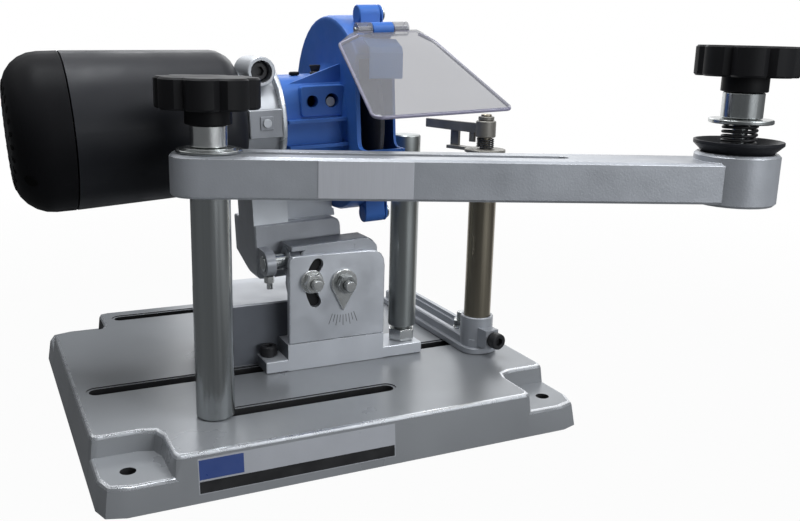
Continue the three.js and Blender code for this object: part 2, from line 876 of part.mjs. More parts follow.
function baseBlock() {
  const middle = (blockFrontY + footBackY) / 2;
  const foot = raised(
    roundedOutline(
      [[footEnds[0], blockFrontY], [footEnds[1], blockFrontY], [footEnds[1], footBackY], [footEnds[0],
        footBackY]],
      cornerBreak
    ), postFoot, footTop, edgeBreak
  );
  const front = block(blockEnds[0], blockEnds[1], blockFrontY, rearBlockFrontY + bind, postFoot,
    frontBlockTop);
  const rear = raised(
    roundedRectangle(rearBlockEnds[0], rearBlockEnds[1], rearBlockFrontY, rearBlockBackY,
      bracketCornerRadius),
    postFoot, rearBlockTop, cornerBreak
  );
  const hollow = block(
    rearBlockEnds[0] + rearBlockWall, rearBlockEnds[1] - rearBlockWall, rearBlockFrontY + rearBlockWall,
    rearBlockBackY - rearBlockWall, postFoot - overrun, rearBlockTop - rearBlockWall
  );
  return cut(
    join(foot, front, rear), hollow,
    rodZ(capShankRadius + slip, 0, footTop + overrun, capScrewX, middle, coarse),
    rodZ(studRadius + slip, 0, footTop + overrun, supportPostX, middle, coarse)
  );
}

function arcSlot() {
  const shape = new THREE.Shape();
  const half = arcSlotWidth / 2;
  const from = arcMiddleAngle - arcHalfSpan;
  const to = arcMiddleAngle + arcHalfSpan;
  const end = (angle) => [arcRadius * Math.cos(angle), arcRadius * Math.sin(angle)];
  shape.absarc(0, 0, arcRadius + half, from, to, false);
  shape.absarc(...end(to), half, to, to + Math.PI, false);
  shape.absarc(0, 0, arcRadius - half, to, from, true);
  shape.absarc(...end(from), half, from + Math.PI, from + 2 * Math.PI, false);
  return moved(raisedY(shape, blockFrontY - overrun, rearBlockFrontY, 0, 8), tiltX, 0, tiltZ);
}

function anglePlate() {
  const foot = frontBlockTop + seat;
  const left = blockEnds[0] + angleSteelInset;
  const outline = roundedOutline(
    [[left, foot], [blockEnds[1], foot], [blockEnds[1], angleSteelTop], [left, angleSteelTop]],
    [cornerBreak, cornerBreak, angleCornerRadius, angleCornerRadius / 2]
  );
  const plate = raisedY(outline, blockFrontY, blockFrontY + angleSteelThickness, edgeBreak);
  const pivot = rodY(pivotBoltRadius + slip, blockFrontY - overrun, rearBlockFrontY, tiltX, tiltZ, coarse);
  return cut(plate, arcSlot(), pivot);
}

function slotNut(across, height, hole) {
  const top = skinBottom - seat;
  const nut = block(-across / 2, across / 2, -across / 2, across / 2, top - height, top);
  return cut(nut, rod(hole, 0, top + overrun, coarse));
}

function supportPost() {
  const low = skinBottom - slotStudDepth;
  return turned([
    [0, low], [studRadius, low], [studRadius, footTop + seat], [supportThreadRadius, footTop + seat],
    [supportThreadRadius, supportPostBottom], [supportPostRadius - postChamfer, supportPostBottom],
    [supportPostRadius, supportPostBottom + postChamfer], [supportPostRadius, supportPostTop - postChamfer],
    [supportPostRadius - postChamfer, supportPostTop], [0, supportPostTop]
  ], fine);
}

function supportNut() {
  const nut = moved(hexNut(supportNutAcross, supportNutHeight), 0, 0, footTop + seat);
  return cut(nut, rod(supportThreadRadius + seat, 0, supportPostBottom, medium));
}

// Where the clamp stud stands in the tilt block, drawn untilted
function arcStudPlace() {
  const angle = arcStudAngle + restTilt;
  return [tiltX + arcRadius * Math.cos(angle), tiltZ + arcRadius * Math.sin(angle)];
}

// Tilt block with its rocking tube, pivot bolt and clamp stud
const tiltFrontY = blockFrontY + angleSteelThickness + seat;
const tiltBackY = tiltFrontY + tiltBlockDepth;
const shelfBackY = tiltFrontY + tiltShelfDepth;

function tiltBlock() {
  const round = rodY(tiltDiscRadius, tiltFrontY, tiltBackY, tiltX, tiltZ, fine, cornerBreak);
  const disc = round.intersect(block(-baseLength, tiltDiscRight, -baseDepth, baseDepth, 0,
    tiltShelfTop - bind));
  const shelf = raisedY(
    roundedOutline([
      [tiltShelfEnds[0], tiltShelfTop - tiltShelfHeight], [tiltShelfEnds[1], tiltShelfTop - tiltShelfHeight],
      [tiltShelfEnds[1], tiltShelfTop], [tiltShelfEnds[0], tiltShelfTop]
    ], cornerBreak), tiltFrontY, shelfBackY, edgeBreak
  );
  const tube = rodX(rockTubeRadius, rockTubeEnds[0], rockTubeEnds[1], rockY, rockZ, fine, cornerBreak);
  const window = block(
    rockTubeEnds[1] + seat, bracketEnds[1] + rockWindowClear, tiltFrontY - overrun, shelfBackY + overrun,
    rockZ - rockRearLugRadius - rockWindowClear, tiltShelfTop - tiltShelfHeight
  );
  const stud = arcStudPlace();
  return cut(
    join(disc, shelf, tube), window,
    rodX(rockShaftRadius + slip, rockShaftEnds[0], rockShaftEnds[1] + overrun, rockY, rockZ, medium),
    rodX(rockTubeRadius + bind, rockTubeEnds[0] - rockTubeRadius, rockTubeEnds[0], rockY, rockZ, medium),
    rodY(pivotBoltRadius + slip, tiltFrontY - overrun, tiltBackY + overrun, tiltX, tiltZ, coarse),
    rodY(pivotBoltRadius + seat, tiltFrontY - overrun, tiltFrontY + arcStudDepth + seat, ...stud, coarse)
  );
}

const clampNutY = blockFrontY - seat - pointerThickness - seat;

function clampBolt(x, z) {
  const head = tiltBackY + seat;
  const low = clampNutY - nutHeight - boltTipLength;
  const shank = rodY(pivotBoltRadius, low, head + bind, x, z, coarse, pivotBoltRadius * chamferShare);
  const cap = rodY(nutAcross / 2, head, head + pivotBoltRadius, x, z, medium, pivotBoltRadius * chamferShare);
  return join(shank, cap);
}

function clampStud(x, z) {
  const low = clampNutY - nutHeight - boltTipLength;
  return rodY(pivotBoltRadius, low, tiltFrontY + arcStudDepth, x, z, coarse, pivotBoltRadius * chamferShare);
}

function clampNut(x, z) {
  const nut = moved(hexNut(nutAcross, nutHeight).rotate([90, 0, 0]), x, clampNutY, z);
  return cut(nut, rodY(pivotBoltRadius + seat, clampNutY - nutHeight - overrun, blockFrontY, x, z, coarse));
}

function clampWasherY(x, z) {
  const broken = pointerThickness * washerBreakShare;
  const disc = rodY(washerRadius, clampNutY + seat, blockFrontY - seat, x, z, medium, broken);
  return cut(disc, rodY(pivotBoltRadius + seat, clampNutY - overrun, blockFrontY, x, z, coarse));
}

function pointer() {
  const shape = new THREE.Shape();
  const spread = Math.acos(pointerRadius / pointerReach);
  shape.absarc(0, 0, pointerRadius, -Math.PI / 2 + spread, -Math.PI / 2 - spread + 2 * Math.PI, false);
  shape.lineTo(0, -pointerReach);
  shape.closePath();
  const leaf = raisedY(shape, clampNutY + seat, blockFrontY - seat, pointerThickness * washerBreakShare, 8);
  return cut(
    moved(leaf.rotate([0, pointerTurn / degree, 0]), tiltX, 0, tiltZ),
    rodY(pivotBoltRadius + seat, clampNutY - overrun, blockFrontY, tiltX, tiltZ, coarse)
  );
}

// Rocking bracket
function headBracket() {
  const [left, right] = bracketEnds;
  const column = left + bracketColumnWidth;
  const lower = raisedY(roundedOutline([
    [left, bracketBottom], [right, bracketBottom], [right, bracketShelfTop], [left, bracketShelfTop]
  ], [bracketCornerRadius, bracketCornerRadius, bracketCornerRadius * 2, bracketCornerRadius / 2]),
  bracketFrontY, bracketBackY, cornerBreak);
  const underside = raisedX(roundedOutline([
    [bracketFrontY + bracketWall, bracketBottom - overrun], [bracketBackY + overrun, bracketBottom - overrun],
    [bracketBackY + overrun, bracketBottom + bracketBackRise]
  ], cornerBreak), left - overrun, right + overrun);
  const hollow = block(
    left + bracketWall, right - bracketWall, bracketFrontY + bracketWall, bracketBackY + overrun,
    bracketBottom - overrun, bracketShelfTop - bracketWall
  );
  const box = (x0, x1, y0, y1, z) => [[x0, y0, z], [x1, y0, z], [x1, y1, z], [x0, y1, z]];
  const riser = loft([
    box(left, column, bracketFrontY + bracketRecess, columnBackY, bracketShelfTop - bind),
    box(left, column, bracketFrontY + bracketRecess, columnBackY, bracketShelfTop + bracketRecessHeight),
    box(collarEnds[0] + bind, collarEnds[1] - seat, headY - collarRadius * riserShare,
      headY + collarRadius * riserShare, headZ - columnDrop)
  ]);
  const saddle = loft([
    box(column - bracketWall, right, headY, saddleBackY, bracketShelfTop - bind),
    box(column - bracketWall, right - bracketWall, headY - bracketWall,
      headY + neckHalfDepth * saddleShare, headZ - saddleDrop)
  ]);
  const lugBack = bracketFrontY + bracketWall / 2;
  const lugs = [
    [rockShaftEnds[0], rockShaftEnds[0] + rockLugWidth, rockLugRadius],
    [bracketEnds[1] - rockLugWidth, bracketEnds[1], rockRearLugRadius]
  ].map(([x0, x1, radius]) => join(
    rodX(radius, x0, x1, rockY, rockZ, fine),
    block(x0, x1, rockY, lugBack, rockZ - radius, rockZ + radius)
  ));
  return cut(
    join(cut(lower, hollow, underside), riser, saddle, ...lugs),
    rodX(collarRimRadius + seat, collarEnds[0] - overrun, collarEnds[0] + collarRimWidth + seat, headY,
      headZ, fine),
    rodX(collarRadius + seat, collarEnds[0], collarEnds[1] + seat, headY, headZ, fine),
    rodX(barrelRadius, barrelEnds[0], collarEnds[0] - seat, headY, headZ, fine),
    neckBody(seat), neckFlare(seat),
    rodX(guardRadius + seat, guardEnds[0] - seat, guardEnds[1], headY, headZ, broad),
    rodX(rockShaftRadius + seat, rockShaftEnds[0] - overrun, rockShaftEnds[1] + overrun, rockY, rockZ, medium)
  );
}

function rockShaft() {
  return rodX(rockShaftRadius, rockShaftEnds[0] - rockShaftStub, rockShaftEnds[1], rockY, rockZ, medium,
    rockShaftRadius * chamferShare);
}

function lockBolt() {
  const x = rockShaftEnds[0] + rockLugWidth / 2;
  const top = rockZ - rockLugRadius - seat;
  const head = moved(hexNut(collarBoltAcross, collarBoltHead), x, rockY, top - collarBoltHead);
  return join(head, rodZ(lockBoltRadius, top - collarBoltHead - collarBoltLength, top - bind, x, rockY,
    coarse));
}

// Motor
function shoulder(outer, end, reach) {
  const steps = 5;
  const points = [];
  for (let i = 0; i <= steps; i++) {
    const angle = i / steps * Math.PI / 2;
    points.push([outer - reach * (1 - Math.cos(angle)), end - reach + reach * Math.sin(angle)]);
  }
  return points;
}

function motorBarrel() {
  const [start, end] = barrelEnds;
  const right = barrelRadius - barrelTaper;
  const noseEnd = collarEnds[1] - seat;
  const pocketFloor = bearingX[1] - bearingWidth / 2 - seat;
  return moved(alongX(turned([
    [barrelRadius - barrelWall, start], [barrelRadius, start], ...shoulder(right, end, barrelShoulder),
    [noseRadius, end], [noseRadius, noseEnd], [bearingRadius + seat, noseEnd],
    [bearingRadius + seat, pocketFloor], [shaftRadius * 2, pocketFloor],
    [shaftRadius * 2, end - barrelWall], [right - barrelShoulder, end - barrelWall],
    [right - barrelWall, end - barrelShoulder]
  ], fine)), 0, headY, headZ);
}

function motorEndCap() {
  const end = barrelEnds[0] - capSeam;
  const start = end - capLength;
  const outer = [];
  const inner = [];
  const steps = 6;
  for (let i = 0; i <= steps; i++) {
    const angle = i / steps * Math.PI / 2;
    const flat = barrelRadius - capDome;
    outer.push([flat + capDome * Math.sin(angle), start + capDome * (1 - Math.cos(angle))]);
    const less = capDome - barrelWall;
    inner.push([flat + less * Math.sin(angle), start + barrelWall + less * (1 - Math.cos(angle))]);
  }
  const pocket = bearingRadius + seat;
  const pocketFloor = bearingX[0] - bearingWidth / 2 - seat;
  const body = moved(alongX(turned([
    [0, start], ...outer, [barrelRadius, end], [barrelRadius - barrelWall, end], ...inner.reverse(),
    [pocket + barrelWall, start + barrelWall], [pocket + barrelWall, bearingX[0] + bearingWidth / 2],
    [pocket, bearingX[0] + bearingWidth / 2], [pocket, pocketFloor], [0, pocketFloor]
  ], fine)), 0, headY, headZ);
  const vents = Array.from({ length: capVentCount }, (_, i) => {
    const vent = block(start - overrun, start + barrelWall + overrun, -capVentWidth / 2, capVentWidth / 2,
      capVentRing - capVentReach, capVentRing + capVentReach);
    return moved(vent.rotate([(2 * i + 1) / capVentCount * 180, 0, 0]), 0, headY, headZ);
  });
  return cut(body, ...vents);
}

function alongHead(profile, faces = medium) {
  return moved(alongX(turned(profile, faces)), 0, headY, headZ);
}

function bearing(x) {
  const half = bearingWidth / 2;
  const inner = shaftRadius + seat;
  const lip = (bearingRadius - inner) / 4;
  return alongHead([
    [inner, x - half], [inner + lip, x - half], [inner + lip, x - half + lip], [bearingRadius - lip,
      x - half + lip],
    [bearingRadius - lip, x - half], [bearingRadius, x - half], [bearingRadius, x + half], [inner, x + half]
  ]);
}

const statorOuter = barrelRadius - barrelTaper - barrelWall - seat;
const statorInner = statorOuter - statorWall;

function stator() {
  const half = rotorLength / 2;
  return alongHead([
    [statorInner, innardsX - half], [statorOuter, innardsX - half], [statorOuter, innardsX + half],
    [statorInner, innardsX + half]
  ], fine);
}

function rotor() {
  const half = rotorLength / 2;
  const rotorRadius = statorInner - rotorGap;
  return alongHead([
    [shaftRadius + seat, innardsX - half], [rotorRadius, innardsX - half], [rotorRadius, innardsX + half],
    [shaftRadius + seat, innardsX + half]
  ]);
}

const clampBossZ = headZ + collarRadius + clampBossDrop;

function collar() {
  const ringBody = alongHead([
    [noseRadius + slip, collarEnds[0]], [collarRimRadius, collarEnds[0]],
    [collarRimRadius, collarEnds[0] + collarRimWidth], [collarRadius, collarEnds[0] + collarRimWidth],
    [collarRadius, collarEnds[1] - seat], [noseRadius + slip, collarEnds[1] - seat]
  ], fine);
  const boss = rodY(
    clampBossRadius, clampBossFrontY, clampBossFrontY + clampBossLength, clampBossX, clampBossZ, medium,
      edgeBreak
  );
  const pad = raisedY(roundedOutline([
    [collarEnds[0], headZ - collarPadWidth / 2], [collarEnds[1] - seat, headZ - collarPadWidth / 2],
    [collarEnds[1] - seat, headZ + collarPadWidth / 2], [collarEnds[0], headZ + collarPadWidth / 2]
  ], cornerBreak), headY - collarRadius - collarPadDepth, headY - noseRadius - overrun * 2, edgeBreak);
  const clear = rodX(noseRadius + slip, collarEnds[0] - overrun, collarEnds[1] + overrun, headY, headZ, fine);
  const bore = rodY(
    clampBoreRadius, clampBossFrontY - overrun, clampBossFrontY + clampBoreDepth, clampBossX, clampBossZ,
      medium
  );
  const barrelClear = rodX(barrelRadius, barrelEnds[0], barrelEnds[1] + seat, headY, headZ, fine);
  return cut(join(ringBody, boss, pad), clear, bore, barrelClear);
}

function collarScrew() {
  const floor = clampBossFrontY + clampBoreDepth - seat;
  const screw = socketScrew(capHeadRadius, capHeadHeight, capShankRadius, 0).rotate([90, 0, 0]);
  return moved(screw, clampBossX, floor, clampBossZ);
}

// Neck and guard, one casting, with its cover
function neckBody(grow) {
  const y = neckHalfDepth + grow;
  const z = neckHalfHeight + grow;
  const outline = roundedOutline(
    [[headY - y, headZ - z], [headY + y, headZ - z], [headY + y, headZ + z], [headY - y, headZ + z]],
    neckCornerRadius
  );
  return raisedX(outline, neckEnds[0] - grow, neckEnds[1] + guardWall, 0, 6);
}

function neckFlare(grow) {
  const left = guardEnds[0];
  return alongHead([
    [0, left - neckFlareLength - grow], [neckHalfHeight - guardWall + grow, left - neckFlareLength - grow],
    [neckHalfHeight + guardWall + grow, left - guardWall], [neckHalfHeight + guardWall * 4 + grow,
      left + bind],
    [0, left + bind]
  ], fine);
}

function guardDisc(x0, x1, round, earStart) {
  const disc = alongHead([
    [0, x0], [guardRadius - round, x0], [guardRadius - round * softShare, x0 + round * softShare],
      [guardRadius, x0 + round],
    [guardRadius, x1], [0, x1]
  ], broad);
  const ears = [-1, 1].map((side) => {
    const y = headY + guardEarOffset[0];
    const z = headZ + side * guardEarOffset[1];
    const root = z - side * guardEarRadius * 2;
    return join(
      rodX(guardEarRadius, earStart, x1, y, z, medium, edgeBreak),
      block(earStart + edgeBreak, x1 - edgeBreak, y - guardEarRadius, y + guardEarRadius, Math.min(z,
        root), Math.max(z, root))
    );
  });
  return join(disc, ...ears);
}

function guardMouth() {
  const outline = roundedOutline([
    [headY - guardRadius - overrun, guardMouthZ[0]], [guardMouthY, guardMouthZ[0]],
    [guardMouthY, guardMouthZ[1]], [headY - guardRadius - overrun, guardMouthZ[1]]
  ], [cornerBreak, guardEarRadius, guardEarRadius, cornerBreak]);
  return raisedX(outline, guardEnds[0] - overrun, guardEnds[1] + overrun);
}

function guardScrewHoles(radius) {
  return [-1, 1].map((side) => rodX(radius, guardEarStart + guardWall, guardEnds[1] + overrun,
    headY + guardEarOffset[0], headZ + side * guardEarOffset[1], coarse));
}

const hingeY = headY + hingeOffset[0];
const hingeZ = headZ + hingeOffset[1];

function guardHousing() {
  const [left, right] = guardEnds;
  const rim = right - coverThickness - seat;
  const shellBody = guardDisc(left, rim, guardEdgeRound, guardEarStart);
  const hollow = alongHead([
    [0, left + guardWall], [guardRadius - guardWall, left + guardWall], [guardRadius - guardWall,
      right + overrun],
    [0, right + overrun]
  ], broad);
  const neck = join(neckBody(0), neckFlare(0));
  const neckHollow = raisedX(roundedOutline([
    [headY - neckHalfDepth + barrelWall, headZ - neckHalfHeight + barrelWall],
    [headY + neckHalfDepth - barrelWall, headZ - neckHalfHeight + barrelWall],
    [headY + neckHalfDepth - barrelWall, headZ + neckHalfHeight - barrelWall],
    [headY - neckHalfDepth + barrelWall, headZ + neckHalfHeight - barrelWall]
  ], neckCornerRadius - barrelWall), neckEnds[0] - overrun, neckEnds[1] - guardWall);
  const front = headY - neckHalfDepth;
  const ridgeFoot = [neckEnds[0] + bind, left];
  const pad = raisedY(roundedOutline([
    [neckPadHoles[0] - neckPadHoleRadii[0] * 2, headZ + neckRidgeThickness],
    [neckPadHoles[1] + neckPadHoleRadii[1] * 2, headZ + neckRidgeThickness],
    [neckPadHoles[1] + neckPadHoleRadii[1] * 2, headZ + neckPadHeight + neckRidgeThickness],
    [neckPadHoles[0] - neckPadHoleRadii[0] * 2, headZ + neckPadHeight + neckRidgeThickness]
  ], neckRibThickness), front - neckPadThickness, front + neckRibReach, edgeBreak);
  const ridges = [headZ, headZ - neckHalfHeight * neckRidgeShare].map((z) => block(
    ridgeFoot[0], ridgeFoot[1] + bind, front - neckRidgeReach, front + neckRibReach,
    z - neckRidgeThickness / 2, z + neckRidgeThickness / 2
  ));
  const ribFoot = headZ + neckHalfHeight - neckRibFoot;
  const rib = raisedY(roundedOutline([
    [neckEnds[0] + bind, ribFoot], [left + bind, ribFoot],
    [left + bind, ribFoot + neckRibFoot + neckRibRise],
    [left - bind, ribFoot + neckRibFoot + neckRibRise],
    [neckEnds[0] + bind, ribFoot + neckRibThickness]
  ], edgeBreak), front + neckRibSet, front + neckRibSet + neckRibThickness);
  const padHoles = neckPadHoles.map((x, i) => rodY(
    neckPadHoleRadii[i], front - neckPadThickness - overrun, front + neckPadHoleDepth,
    x, headZ + neckRidgeThickness + neckPadHeight / 2, medium
  ));
  const { root, drop, reach } = hingeWebShares;
  const web = raisedX(roundedOutline([
    [hingeY - hingeRadius * root, hingeZ - hingeRadius * root],
    [hingeY + hingeRadius * drop[0], hingeZ - hingeRadius * drop[1]],
    [hingeY + hingeRadius * reach[0], hingeZ - hingeRadius * reach[1]],
    [hingeY + hingeRadius * root, hingeZ + hingeRadius * root]
  ], edgeBreak), hingeBarrelEnds[0], Math.min(hingeBarrelEnds[1], rim));
  const barrel = rodX(hingeRadius, hingeBarrelEnds[0], hingeBarrelEnds[1], hingeY, hingeZ, medium, fineBreak);
  const shaftHole = rodX(shaftRadius * 2, neckEnds[0], left + guardWall + overrun, headY, headZ, medium);
  return cut(
    join(shellBody, neck, pad, ...ridges, rib, web, barrel),
    hollow, neckHollow, shaftHole, guardMouth(), ...padHoles, ...guardScrewHoles(thumbScrewRadius),
    rodX(noseRadius + slip, collarEnds[0], neckEnds[0] + bearingWidth, headY, headZ, fine),
    rodX(hingePinRadius + seat, hingeBarrelEnds[0] - overrun, hingeBarrelEnds[1] + overrun, hingeY,
      hingeZ, coarse),
    rodZ(thumbScrewRadius, headZ + neckHalfHeight - barrelWall * 2, headZ + guardRadius, ...thumbPlace,
      coarse),
    rodZ(plugRadius * plugStemShare, headZ + neckHalfHeight - barrelWall * 2, headZ + guardRadius,
      ...plugPlace, coarse)
  );
}

function guardCover() {
  const [, right] = guardEnds;
  const left = right - coverThickness;
  return cut(guardDisc(left, right, 0, left), guardMouth(), ...guardScrewHoles(thumbScrewRadius));
}

function guardScrew(side) {
  const y = headY + guardEarOffset[0];
  const z = headZ + side * guardEarOffset[1];
  const face = guardEnds[1] + seat;
  return join(
    rodX(thumbScrewRadius - seat, guardEarStart + guardWall * 2, face + bind, y, z, coarse),
    rodX(guardEarRadius * guardScrewShare, face, face + coverThickness, y, z, medium, edgeBreak)
  );
}

const thumbPlace = [neckPadHoles[1] - thumbWingLength / 4, headY - neckHalfDepth / 4];
const plugPlace = [neckPadHoles[0] - plugRadius, headY - neckHalfDepth / 4];
const neckTop = headZ + neckHalfHeight;

function neckPlug() {
  const cap = rodZ(plugRadius, neckTop + seat, neckTop + seat + plugHeight, ...plugPlace, medium, edgeBreak);
  const stem = rodZ(plugRadius * plugStemShare - seat, neckTop - barrelWall, neckTop + bind,
    ...plugPlace, coarse);
  return join(cap, stem);
}

function thumbScrew() {
  const foot = neckTop + seat;
  const [x, y] = thumbPlace;
  const neck = rodZ(thumbScrewRadius * thumbNeckShare, foot, foot + coverThickness, x, y, medium, fineBreak);
  const wings = raisedY(roundedOutline([
    [x - thumbWingLength * thumbFootShare, foot + bind], [x + thumbWingLength * thumbFootShare, foot + bind],
    [x + thumbWingLength / 2, foot + coverThickness + thumbWingHeight],
    [x - thumbWingLength / 2, foot + coverThickness + thumbWingHeight]
  ], thumbWingHeight / 4), y - coverThickness / 2, y + coverThickness / 2, fineBreak);
  return join(neck, wings, rodZ(thumbScrewRadius - seat, foot - thumbScrewLength, foot + bind, x, y, coarse));
}

// Wheel and what holds it on the shaft
function grindingWheel() {
  const half = wheelThickness / 2;
  const edge = half * wheelEdgeShare;
  return alongHead([
    [wheelBoreRadius + seat, wheelX - half], [wheelRadius - edge, wheelX - half], [wheelRadius,
      wheelX - half + edge],
    [wheelRadius, wheelX + half - edge], [wheelRadius - edge, wheelX + half], [wheelBoreRadius + seat,
      wheelX + half]
  ], broad);
}

function wheelFlange() {
  const low = wheelX + wheelThickness / 2 + seat;
  const high = low + flangeThickness;
  return alongHead([
    [shaftRadius + seat, low], [flangeRadius, low], [flangeRadius, high], [shaftRadius + seat, high]
  ], fine);
}

function wheelNut() {
  const foot = wheelX + wheelThickness / 2 + seat + flangeThickness + seat;
  const nut = moved(alongX(hexNut(wheelNutAcross, wheelNutHeight)), foot, headY, headZ);
  return cut(nut, rodX(shaftRadius + seat, foot - overrun, foot + wheelNutHeight + overrun, headY, headZ,
    medium));
}

function motorShaft() {
  const end = guardEnds[1] - coverThickness - shaftEndClear;
  const shoulderEnd = wheelX - wheelThickness / 2 - seat;
  return join(
    rodX(shaftRadius, shaftStart, end, headY, headZ, medium, shaftRadius * chamferShare),
    rodX(flangeRadius, shoulderEnd - flangeThickness, shoulderEnd, headY, headZ, fine)
  );
}

// Clear shield, drawn hanging from its hinge and then laid on its slope
function shieldBody() {
  const section = (half, wing, run) => {
    const dropX = wing * Math.cos(shieldWingAngle);
    const dropN = wing * Math.sin(shieldWingAngle);
    const t = shieldThickness / 2;
    return [
      [-half - dropX, -dropN - t, run], [-half, -t, run], [half, -t, run], [half + dropX, -dropN - t, run],
      [half + dropX, -dropN + t, run], [half, t, run], [-half, t, run], [-half - dropX, -dropN + t, run]
    ];
  };
  const start = hingeRadius * shieldRootShare;
  const leaf = loft([
    section(shieldTopHalfWidth, shieldWingTop * softShare, start),
    section(shieldTopHalfWidth, shieldWingTop, start + hingeRadius),
    section(shieldBottomHalfWidth, shieldWingBottom, shieldLength - hingeRadius),
    section(shieldBottomHalfWidth, shieldWingBottom * softShare, shieldLength)
  ]);
  const slope = 90 + shieldSlope / degree;
  const laid = moved(leaf.rotate([slope, 0, 0]), shieldMiddle, hingeY, hingeZ);
  const barrels = [[shieldEnds[0], hingeBarrelEnds[0] - slip], [hingeBarrelEnds[1] + slip, shieldEnds[1]]]
    .map(([x0, x1]) => rodX(hingeRadius, x0, x1, hingeY, hingeZ, medium));
  const relief = rodX(
    hingeRadius + hingeRelief, hingeBarrelEnds[0] - slip, hingeBarrelEnds[1] + slip, hingeY, hingeZ, medium
  );
  const pinHole = rodX(hingePinRadius + seat, shieldEnds[0] - overrun, shieldEnds[1] + overrun, hingeY,
    hingeZ, coarse);
  return cut(join(laid, ...barrels), relief, pinHole);
}

function shieldPin() {
  return rodX(hingePinRadius, shieldEnds[0] - hingePinStub, shieldEnds[1] + hingePinStub, hingeY, hingeZ,
    coarse,
    hingePinRadius * chamferShare);
}

// Stop slide, drawn with the stop post on the Z axis
const slideReach = slideBackY - stopY;
const carriageReach = middleSlotY - stopY;
const slideTop = postFoot + slideHeight;

function stopSlide() {
  const half = slideWidth / 2;
  const railHalf = slideRailWidth / 2;
  const tongue = (h) => roundedOutline(
    [[-h, -h], [h, -h], [h, slideReach], [-h, slideReach]],
    [h * endRoundShare, h * endRoundShare, cornerBreak * 2, cornerBreak * 2]
  );
  const flange = raised(tongue(half), postFoot, postFoot + slideStep, edgeBreak, 7);
  const rails = raised(tongue(railHalf), postFoot, slideTop, cornerBreak, 7);
  const slotHalf = slideSlotWidth / 2;
  const grooveHalf = slideGrooveWidth / 2;
  const last = slideReach - slideGrooveWidth / 2;
  const slot = raised(
    roundedRectangle(-slotHalf, slotHalf, slideSlotStart, last, slotHalf * fullRoundShare),
      postFoot - overrun, slideTop + overrun
  );
  const groove = raised(
    roundedRectangle(-grooveHalf, grooveHalf, slideSlotStart - overrun, last + overrun,
      grooveHalf * fullRoundShare),
    slideTop - slideGrooveDepth, slideTop + overrun
  );
  const boss = rod(stopBossRadius, postFoot, stopBossTop, fine, edgeBreak);
  const lug = block(
    stopBossRadius * clampLugRootShare, stopBossRadius + clampLugDepth,
      -clampLugWidth / 2 - clampScrewOffset / 2,
    clampLugWidth / 2 - clampScrewOffset / 2, clampScrewZ - clampLugHeight / 2,
      clampScrewZ + clampLugHeight / 2
  ).rotate([0, 0, clampLugTurn / degree]);
  return cut(
    join(flange, rails, boss, lug), slot, groove,
    rod(stopPostRadius + slip, stopPostFoot - slip, stopBossTop + overrun, fine),
    rodX(capShankRadius + slip, 0, stopBossRadius + clampLugDepth + overrun, 0, clampScrewZ, coarse)
      .rotate([0, 0, clampLugTurn / degree])
  );
}

function clampScrew() {
  const screw = alongX(socketScrew(capHeadRadius, capHeadHeight, capShankRadius, clampLugDepth));
  return moved(screw, stopBossRadius + clampLugDepth + seat, 0, clampScrewZ).rotate([0, 0,
    clampLugTurn / degree]);
}

function stopBolt() {
  const top = slideTop + plateWasherThickness + boltHeadHeight + overrun * 2;
  return moved(join(
    rod(studRadius - seat, skinBottom - boltHeadHeight - seat, top, medium, edgeBreak),
    raised(hexagon(boltHeadAcross), skinBottom - seat - boltHeadHeight, skinBottom - seat)
  ), 0, carriageReach);
}

function stopNut() {
  const low = slideTop - slideGrooveDepth + seat;
  const skirtTop = slideTop + seat;
  const skirt = rod(slideGrooveWidth / 2 - slip, low, skirtTop, medium, slip);
  const nut = moved(hexNut(nutAcross, boltHeadHeight), 0, 0, skirtTop - slip);
  return moved(cut(join(skirt, nut), rod(studRadius, 0, slideTop * 2, coarse)), 0, carriageReach);
}

// Stop post, finger carrier, sprung finger
function stopPost() {
  return join(
    rod(stopPostRadius, stopPostFoot, stopPostTop, fine, postChamfer),
    rod(fingerStudRadius, stopPostTop - postChamfer, fingerStudTop, medium, edgeBreak)
  );
}

const carrierFoot = stopPostTop + seat;
const carrierTop = carrierFoot + carrierThickness;

function fingerCarrier() {
  const disc = rod(carrierRadius, carrierFoot, carrierTop, fine, fineBreak);
  const half = carrierWidth / 2;
  const arm = raised(
    roundedOutline([[0, -half], [carrierReach, -half], [carrierReach, half], [0, half]], cornerBreak),
    carrierFoot, carrierTop
  );
  const lip = raisedY(roundedOutline([
    [carrierReach - carrierWidth, carrierFoot], [carrierReach, carrierFoot],
    [carrierReach, carrierTop + carrierRise], [carrierReach - carrierWidth, carrierTop + carrierRise]
  ], cornerBreak), -half, -half + carrierThickness);
  return cut(join(disc, arm, lip), rod(fingerStudRadius + seat, 0, carrierTop + overrun, medium));
}

const fingerFoot = fingerCollarBottom + (fingerCollarHeight - fingerHeight) / 2;

function stopFinger() {
  const barSide = -carrierWidth / 2 + carrierThickness + seat;
  const collarTop = fingerCollarBottom + fingerCollarHeight;
  const collarRing = rod(fingerCollarRadius, fingerCollarBottom, collarTop, fine, edgeBreak);
  const bar = raisedY(roundedOutline([
    [0, fingerFoot], [fingerReach, fingerFoot + fingerTaper], [fingerReach, fingerFoot + fingerHeight],
    [0, fingerFoot + fingerHeight]
  ], edgeBreak), barSide, barSide + fingerThickness, fingerBreak);
  const tab = block(
    fingerTabReach - fingerTabWidth, fingerTabReach, barSide + seat, barSide + fingerThickness - seat,
    fingerFoot - fingerTabDrop, fingerFoot + fingerTaper
  );
  return cut(join(collarRing, bar, tab), rod(fingerStudRadius + seat, 0, fingerStudTop + overrun, medium));
}

function fingerNut() {
  const low = fingerCollarBottom + fingerCollarHeight + seat;
  return cut(
    rod(fingerCollarRadius * fingerNutShare, low, low + fingerThickness, medium, fineBreak),
    rod(fingerStudRadius + seat, 0, low * 2, coarse)
  );
}

